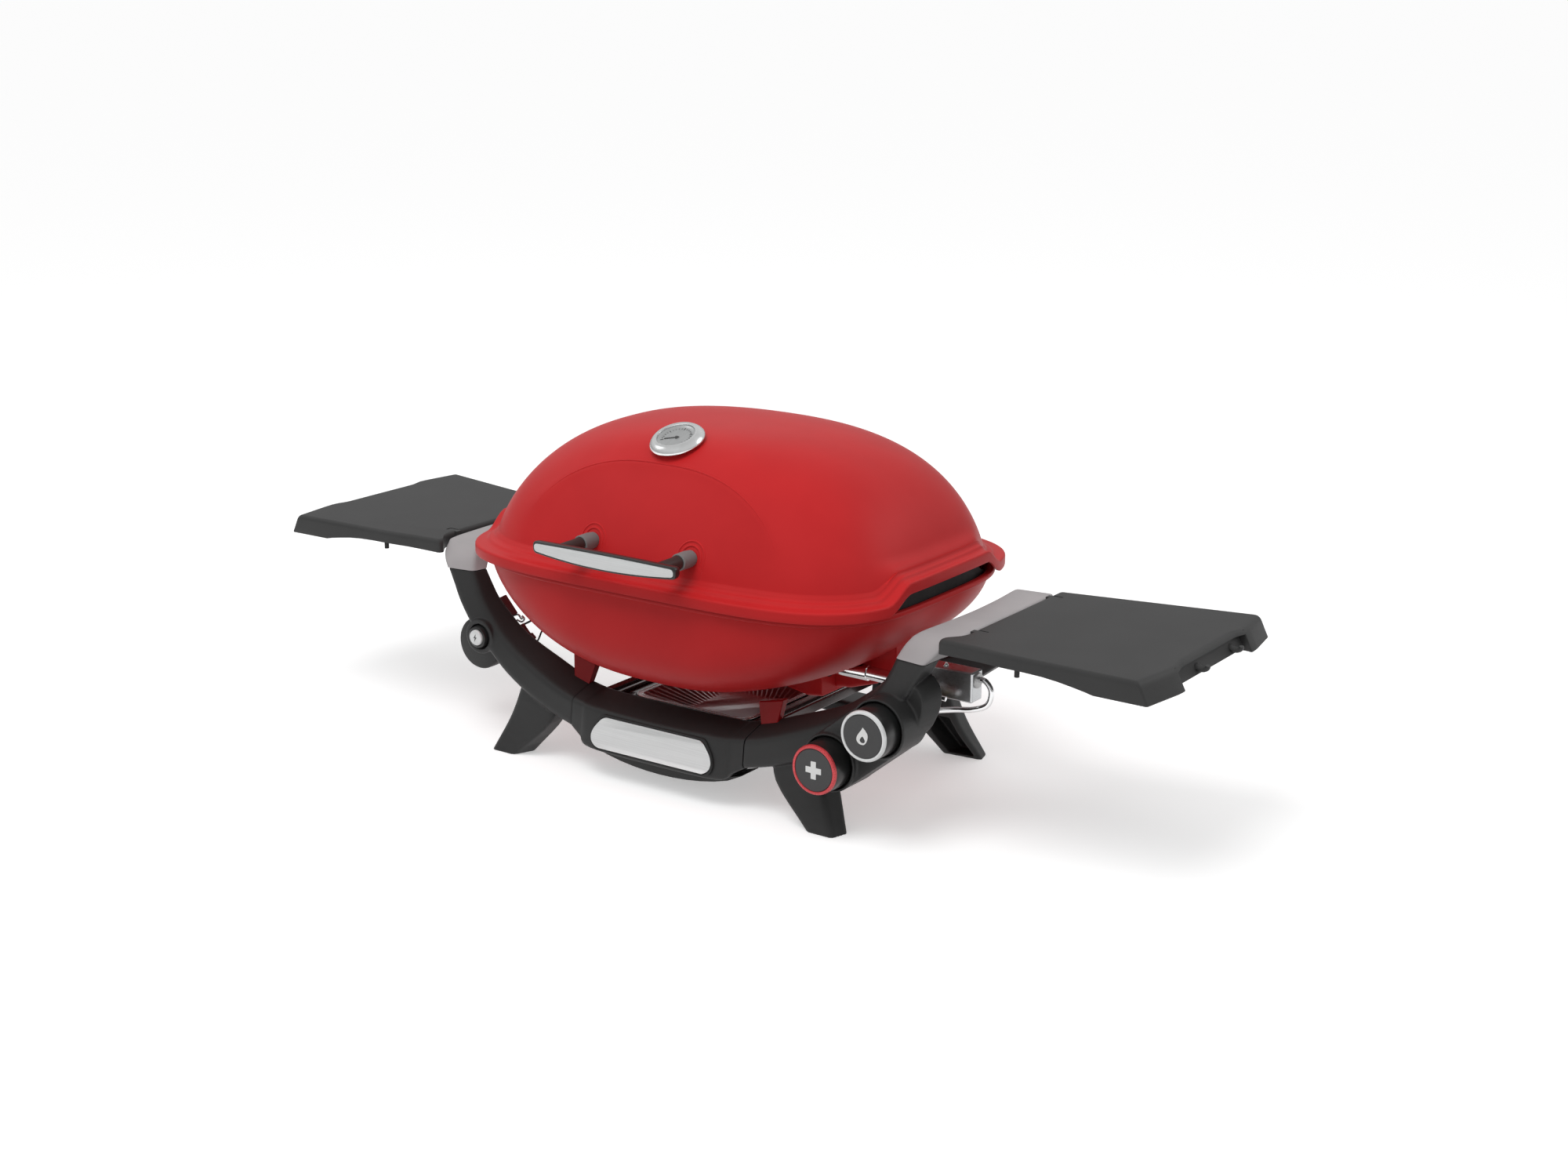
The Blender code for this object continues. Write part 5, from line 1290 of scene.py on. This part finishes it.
def make_igniter():
    disc = [
        (0.0, 0.02), (0.0315, 0.02), (0.0338, 0.0192), (0.035, 0.0172), (0.035, 0.002),
        (0.034, 0.0), (0.0, 0.0),
    ]
    place = Vector((-0.351, -0.088, 0.1115))
    housing = lathe_bmesh(disc, face_matrix(place), 96)
    replace_node("igniter_housing", housing, CHARCOAL, slot="charcoal_plastic")
    bezel = [
        (0.011, 0.0004), (0.0118, 0.001), (0.0138, 0.0002), (0.0146, -0.0018), (0.015, -0.006),
        (0.0155, -0.0115), (0.0112, -0.0115),
    ]
    spot = Vector((BUTTON.x, BUTTON_FACE_Y + 0.003, BUTTON.z))
    replace_node("igniter_bezel", lathe_bmesh(bezel, face_matrix(spot), 96), BLACK, slot="black_plastic")
    button = [
        (0.0, 0.0006), (0.0088, 0.0004), (0.0099, -0.0002), (0.0104, -0.0012), (0.0104, -0.008),
        (0.0045, -0.008), (0.0045, -0.03), (0.0, -0.03),
    ]
    spot = Vector((BUTTON.x, BUTTON_FACE_Y, BUTTON.z))
    matrix = face_matrix(spot)
    replace_node("igniter_button", lathe_bmesh(button, matrix, 96), WHITE_RING, slot="chrome")
    zigzag = [
        (0.0012, 0.005), (-0.0026, -0.0004), (-0.0002, -0.0004), (-0.0014, -0.005), (0.0028, 0.001),
        (0.0004, 0.001),
    ]
    rings = [[matrix @ Vector((x, y, z)) for x, y in zigzag] for z in (0.0003, 0.0009)]
    add_piece("igniter_spark_mark", loft_bmesh(rings), STUD, "igniter_plunger", slot="black_plastic")
    refined("igniter_electrode", CERAMIC, 0.0006)
    path = [
        (-0.2623, -0.03, 0.164), (-0.276, -0.033, 0.16), (-0.296, -0.046, 0.144),
        (-0.318, -0.064, 0.13), (-0.33, -0.078, 0.124), (-0.333, -0.0876, 0.123),
    ]
    points = smooth_path(path, 10)
    replace_node("igniter_wire", tube_bmesh(points, 0.0014, 16), SOFT_BLACK)


# ---------------------------------------------------------------- gas train
def make_gas_train():
    refined("manifold_box", ZINC, 0.0012, segments=3)
    low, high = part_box("manifold_box")
    low -= MIDDLE
    high -= MIDDLE
    bolt = Matrix.Translation((low.x + 0.027, (low.y + high.y) / 2 - 0.003, high.z))
    dome = [
        (0.0, 0.0042), (0.0016, 0.0038), (0.0028, 0.0026), (0.0034, 0.001), (0.0034, -0.001),
        (0.0, -0.001),
    ]
    add_piece("manifold_bolt", lathe_bmesh(dome, bolt, 32), CHROME, "base", slot="galvanised_steel")
    end = right_matrix((high.x, -0.055, 0.185))
    plug = [(0.0, 0.0024), (0.0088, 0.0024), (0.0096, 0.0016), (0.0096, -0.001), (0.0, -0.001)]
    add_piece(
        "manifold_end_plug", lathe_bmesh(plug, end, 48), CERAMIC_GREY, "base", slot="galvanised_steel"
    )
    face = face_matrix((low.x + 0.008, low.y, 0.1705))
    add_piece(
        "manifold_side_plug", lathe_bmesh(plug, face, 48), CERAMIC_GREY, "base", slot="galvanised_steel"
    )
    stub = [
        (low.x + 0.008, low.y - 0.002, 0.1705), (low.x + 0.012, low.y - 0.013, 0.169),
        (low.x + 0.026, low.y - 0.016, 0.166), (low.x + 0.042, low.y - 0.014, 0.164),
    ]
    points = smooth_path(stub, 10)
    add_piece("manifold_side_tube", tube_bmesh(points, 0.0032, 24), CHROME, "base", slot="chrome")
    supply = [
        (0.3875, -0.055, 0.186), (0.398, -0.055, 0.1855), (0.406, -0.055, 0.1745),
        (0.402, -0.056, 0.158), (0.386, -0.059, 0.15), (0.362, -0.064, 0.1465),
        (0.337, -0.079, 0.1442),
    ]
    jumper = [
        (SMALL_KNOB.x, -0.0697, SMALL_KNOB.z), (SMALL_KNOB.x, -0.056, SMALL_KNOB.z),
        (0.266, -0.048, 0.098), (0.296, -0.047, 0.12), (0.313, -0.054, 0.138),
        (MAIN_KNOB.x, -0.066, MAIN_KNOB.z),
    ]
    for node, path, radius in (("gas_supply_tube", supply, 0.0034), ("gas_jumper_tube", jumper, 0.003)):
        points = smooth_path(path, 12)
        replace_node(node, tube_bmesh(points, radius, 32), CHROME)
    refined("gas_inlet_fitting", BRASS, 0.0005, 40.0)


# ---------------------------------------------------------------- catch pan
PAN_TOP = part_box("catch_pan")[1].z
PAN_DEPTH = 0.03


def pan_ring(half_width, front, back, z, ribs=0.0, corner=0.02):
    """A rounded rectangle of many points. ribs presses shallow upright flutes into it."""
    corners = [
        (half_width, -front, z), (half_width, back, z), (-half_width, back, z), (-half_width, -front, z)
    ]
    line = rounded(corners, corner, 10)
    ring = evenly_spaced([*line, line[0]], 480)
    if not ribs:
        return ring
    pressed = []
    for i, p in enumerate(ring):
        depth = ribs * (0.5 + 0.5 * math.cos(2 * math.pi * i / 8))
        flat = Vector((p.x, p.y, 0.0))
        pressed.append(p - flat.normalized() * depth)
    return pressed


def make_pan():
    floor = PAN_TOP - PAN_DEPTH
    levels = (
        (0.06, 0.06, 0.06, floor), (0.064, 0.064, 0.064, floor + 0.001),
        (0.093, 0.108, 0.086, PAN_TOP - 0.005), (0.094, 0.109, 0.087, PAN_TOP - 0.0015),
        (0.103, 0.118, 0.0945, PAN_TOP - 0.0015, 0.0, 0.026),
        (0.104, 0.119, 0.095, PAN_TOP - 0.0008, 0.0, 0.026),
        (0.1034, 0.1184, 0.0946, PAN_TOP, 0.0, 0.026), (0.093, 0.1075, 0.0855, PAN_TOP),
        (0.0915, 0.106, 0.0845, PAN_TOP - 0.003), (0.063, 0.063, 0.063, floor + 0.0022),
        (0.059, 0.059, 0.059, floor + 0.0012),
    )
    rings = [pan_ring(*level) for level in levels]
    replace_node("catch_pan", loft_bmesh(rings), PAN_RAIL, slot="pan_rail_steel", angle=50.0)
    liner = floor + 0.002
    levels = (
        (0.05, 0.052, 0.05, liner), (0.054, 0.056, 0.054, liner + 0.001),
        (0.056, 0.058, 0.056, liner + 0.003, 0.0016), (0.084, 0.099, 0.077, PAN_TOP - 0.002, 0.0022),
        (0.0855, 0.1005, 0.0785, PAN_TOP + 0.0006), (0.0905, 0.1055, 0.0835, PAN_TOP + 0.0006),
        (0.0908, 0.1058, 0.0838, PAN_TOP + 0.001), (0.0902, 0.1052, 0.0832, PAN_TOP + 0.0013),
        (0.0852, 0.1002, 0.0782, PAN_TOP + 0.0013), (0.0834, 0.0984, 0.0764, PAN_TOP - 0.0014, 0.0022),
        (0.0552, 0.0572, 0.0552, liner + 0.0036, 0.0016), (0.0496, 0.0516, 0.0496, liner + 0.0008),
    )
    rings = [pan_ring(*level) for level in levels]
    replace_node("foil_tray", loft_bmesh(rings), FOIL, angle=50.0)
    # The rolled rims are real shapes. Their lighter material paints the bright glint along them.
    for name, shrink in (("outer", 0.0), ("inner", 0.0046)):
        ring = pan_ring(0.0905 - shrink, 0.1055 - shrink, 0.0835 - shrink, PAN_TOP + 0.0012)
        add_piece(
            f"foil_rim_{name}", tube_bmesh(ring[::2], 0.0009, 10, cyclic=True),
            FOIL_EDGE_GLINT, "pan", slot="aluminium_foil"
        )
    for side in ("left", "right"):
        refined(f"pan_rail_{side}", PAN_RAIL, 0.001, segments=3)


def make_pan_frame():
    """The glossy frame on the base that the pan slides between: a bar along each side."""
    for side, x in (("left", -1), ("right", 1)):
        profile = [(0.1185, 0.08), (0.1265, 0.082), (0.1275, 0.0935), (0.1255, 0.095), (0.119, 0.0925)]
        bar = slab_bmesh(profile, (-0.1215, 0.1235), x)
        add_piece(f"pan_frame_{side}", bar, PAN_RAIL, "base", slot="pan_rail_steel", bevel=0.0008)


# ---------------------------------------------------------------- hidden and small pieces
def make_small_pieces():
    refined("main_burner_loop", STEEL, 0.0, 50.0)
    refined("main_burner_tube", CHROME, 0.0, 50.0)
    refined("small_burner", STEEL, 0.0, 50.0)
    for side in ("left", "right"):
        refined(f"grate_{side}", CAST, 0.0006, 40.0)
        refined(f"lid_hinge_lug_{side}", RED, 0.001)
        refined(f"cookbox_hinge_lug_{side}", RED, 0.001)
        refined(f"table_hinge_pin_{side}", STEEL, 0.0)
        for row in ("front", "back"):
            refined(f"cookbox_bracket_{row}_{side}", RED_STEEL_GLOSS, 0.0016, segments=4)
    refined("cradle_lower_lip", CHARCOAL, 0.0022, 40.0, segments=4)


# ---------------------------------------------------------------- studio
def make_world():
    """Soft light from all round, brighter from above than from below."""
    world = bpy.context.scene.world or bpy.data.worlds.new("studio")
    bpy.context.scene.world = world
    world.use_nodes = True
    nodes = world.node_tree.nodes
    links = world.node_tree.links
    where = nodes.new("ShaderNodeTexCoord")
    split = nodes.new("ShaderNodeSeparateXYZ")
    links.new(where.outputs["Generated"], split.inputs["Vector"])
    shade = nodes.new("ShaderNodeValToRGB")
    ramp = shade.color_ramp
    ramp.elements[0].position = 0.0
    ramp.elements[0].color = (0.52, 0.52, 0.52, 1.0)
    ramp.elements[1].position = 1.0
    ramp.elements[1].color = (0.58, 0.58, 0.58, 1.0)
    for place, level in ((0.34, 0.42), (0.46, 0.22), (0.53, 0.32), (0.62, 0.6), (0.78, 0.68)):
        element = ramp.elements.new(place)
        element.color = (level, level, level, 1.0)
    height = nodes.new("ShaderNodeMapRange")
    height.inputs["From Min"].default_value = -1.0
    links.new(split.outputs["Z"], height.inputs["Value"])
    links.new(height.outputs["Result"], shade.inputs["Fac"])
    links.new(shade.outputs["Color"], nodes["Background"].inputs["Color"])
    nodes["Background"].inputs["Strength"].default_value = 1.0


FLOOR_SIZE = 400.0
LAMP_TARGET = Vector((0.0, 0.0, 0.15))


def make_studio():
    bpy.ops.mesh.primitive_plane_add(size=FLOOR_SIZE, location=(0.0, 0.0, 0.0))
    floor = bpy.context.object
    floor.name = "studio_floor"
    mat = bpy.data.materials.new("studio_white")
    mat.use_nodes = True
    shader = mat.node_tree.nodes["Principled BSDF"]
    shader.inputs["Base Color"].default_value = (0.92, 0.92, 0.92, 1.0)
    shader.inputs["Roughness"].default_value = 0.9
    shader.inputs["Specular IOR Level"].default_value = 0.0
    shader.inputs["Emission Color"].default_value = (1.0, 1.0, 1.0, 1.0)
    shader.inputs["Emission Strength"].default_value = 0.4
    floor.data.materials.append(mat)
    floor.visible_diffuse = False
    make_world()
    # Each lamp's name, place, size in metres and power in watts, and whether it lights or only glints.
    lamps = (
        ("key", (0.1, -1.5, 3.0), 1.9, 40.0, True),
        ("sheen_right", (1.9, 1.5, 1.9), 1.6, 9.0, False),
        ("sheen_left", (-2.2, -1.2, 2.2), 1.6, 5.0, False),
    )
    for name, place, size, power, soft in lamps:
        data = bpy.data.lights.new(name, "AREA")
        data.shape = "DISK"
        data.size = size
        data.energy = power
        lamp = bpy.data.objects.new(name, data)
        bpy.context.scene.collection.objects.link(lamp)
        lamp.visible_diffuse = soft
        lamp.visible_glossy = not soft
        lamp.location = place
        lamp.rotation_euler = (LAMP_TARGET - Vector(place)).to_track_quat("-Z", "Y").to_euler()


CAMERA_PLACE = Vector((1.66, -2.2398, 1.0067))
CAMERA_DOWN = 15.746
CAMERA_TURN = 35.336
CAMERA_LENS = 52.2


def make_camera():
    bpy.context.scene.view_settings.view_transform = "Standard"
    data = bpy.data.cameras.new("camera")
    data.sensor_width = 36.0
    data.lens = CAMERA_LENS
    data.clip_end = 100.0
    camera = bpy.data.objects.new("camera", data)
    bpy.context.scene.collection.objects.link(camera)
    camera.location = CAMERA_PLACE + MIDDLE
    camera.rotation_euler = (math.radians(90.0 - CAMERA_DOWN), 0.0, math.radians(CAMERA_TURN))
    bpy.context.scene.camera = camera


# ---------------------------------------------------------------- everything
make_lid()
make_post_ridges()
make_facet_ridge()
make_thermometer()
make_handle()
make_cookbox()
make_shield_plates()
make_vent_shade_strips()
make_arms()
make_rails()
make_cradles()
make_tables()
make_knobs()
make_igniter()
make_gas_train()
make_pan()
make_pan_frame()
make_small_pieces()
make_studio()
make_camera()

bpy.context.view_layer.update()
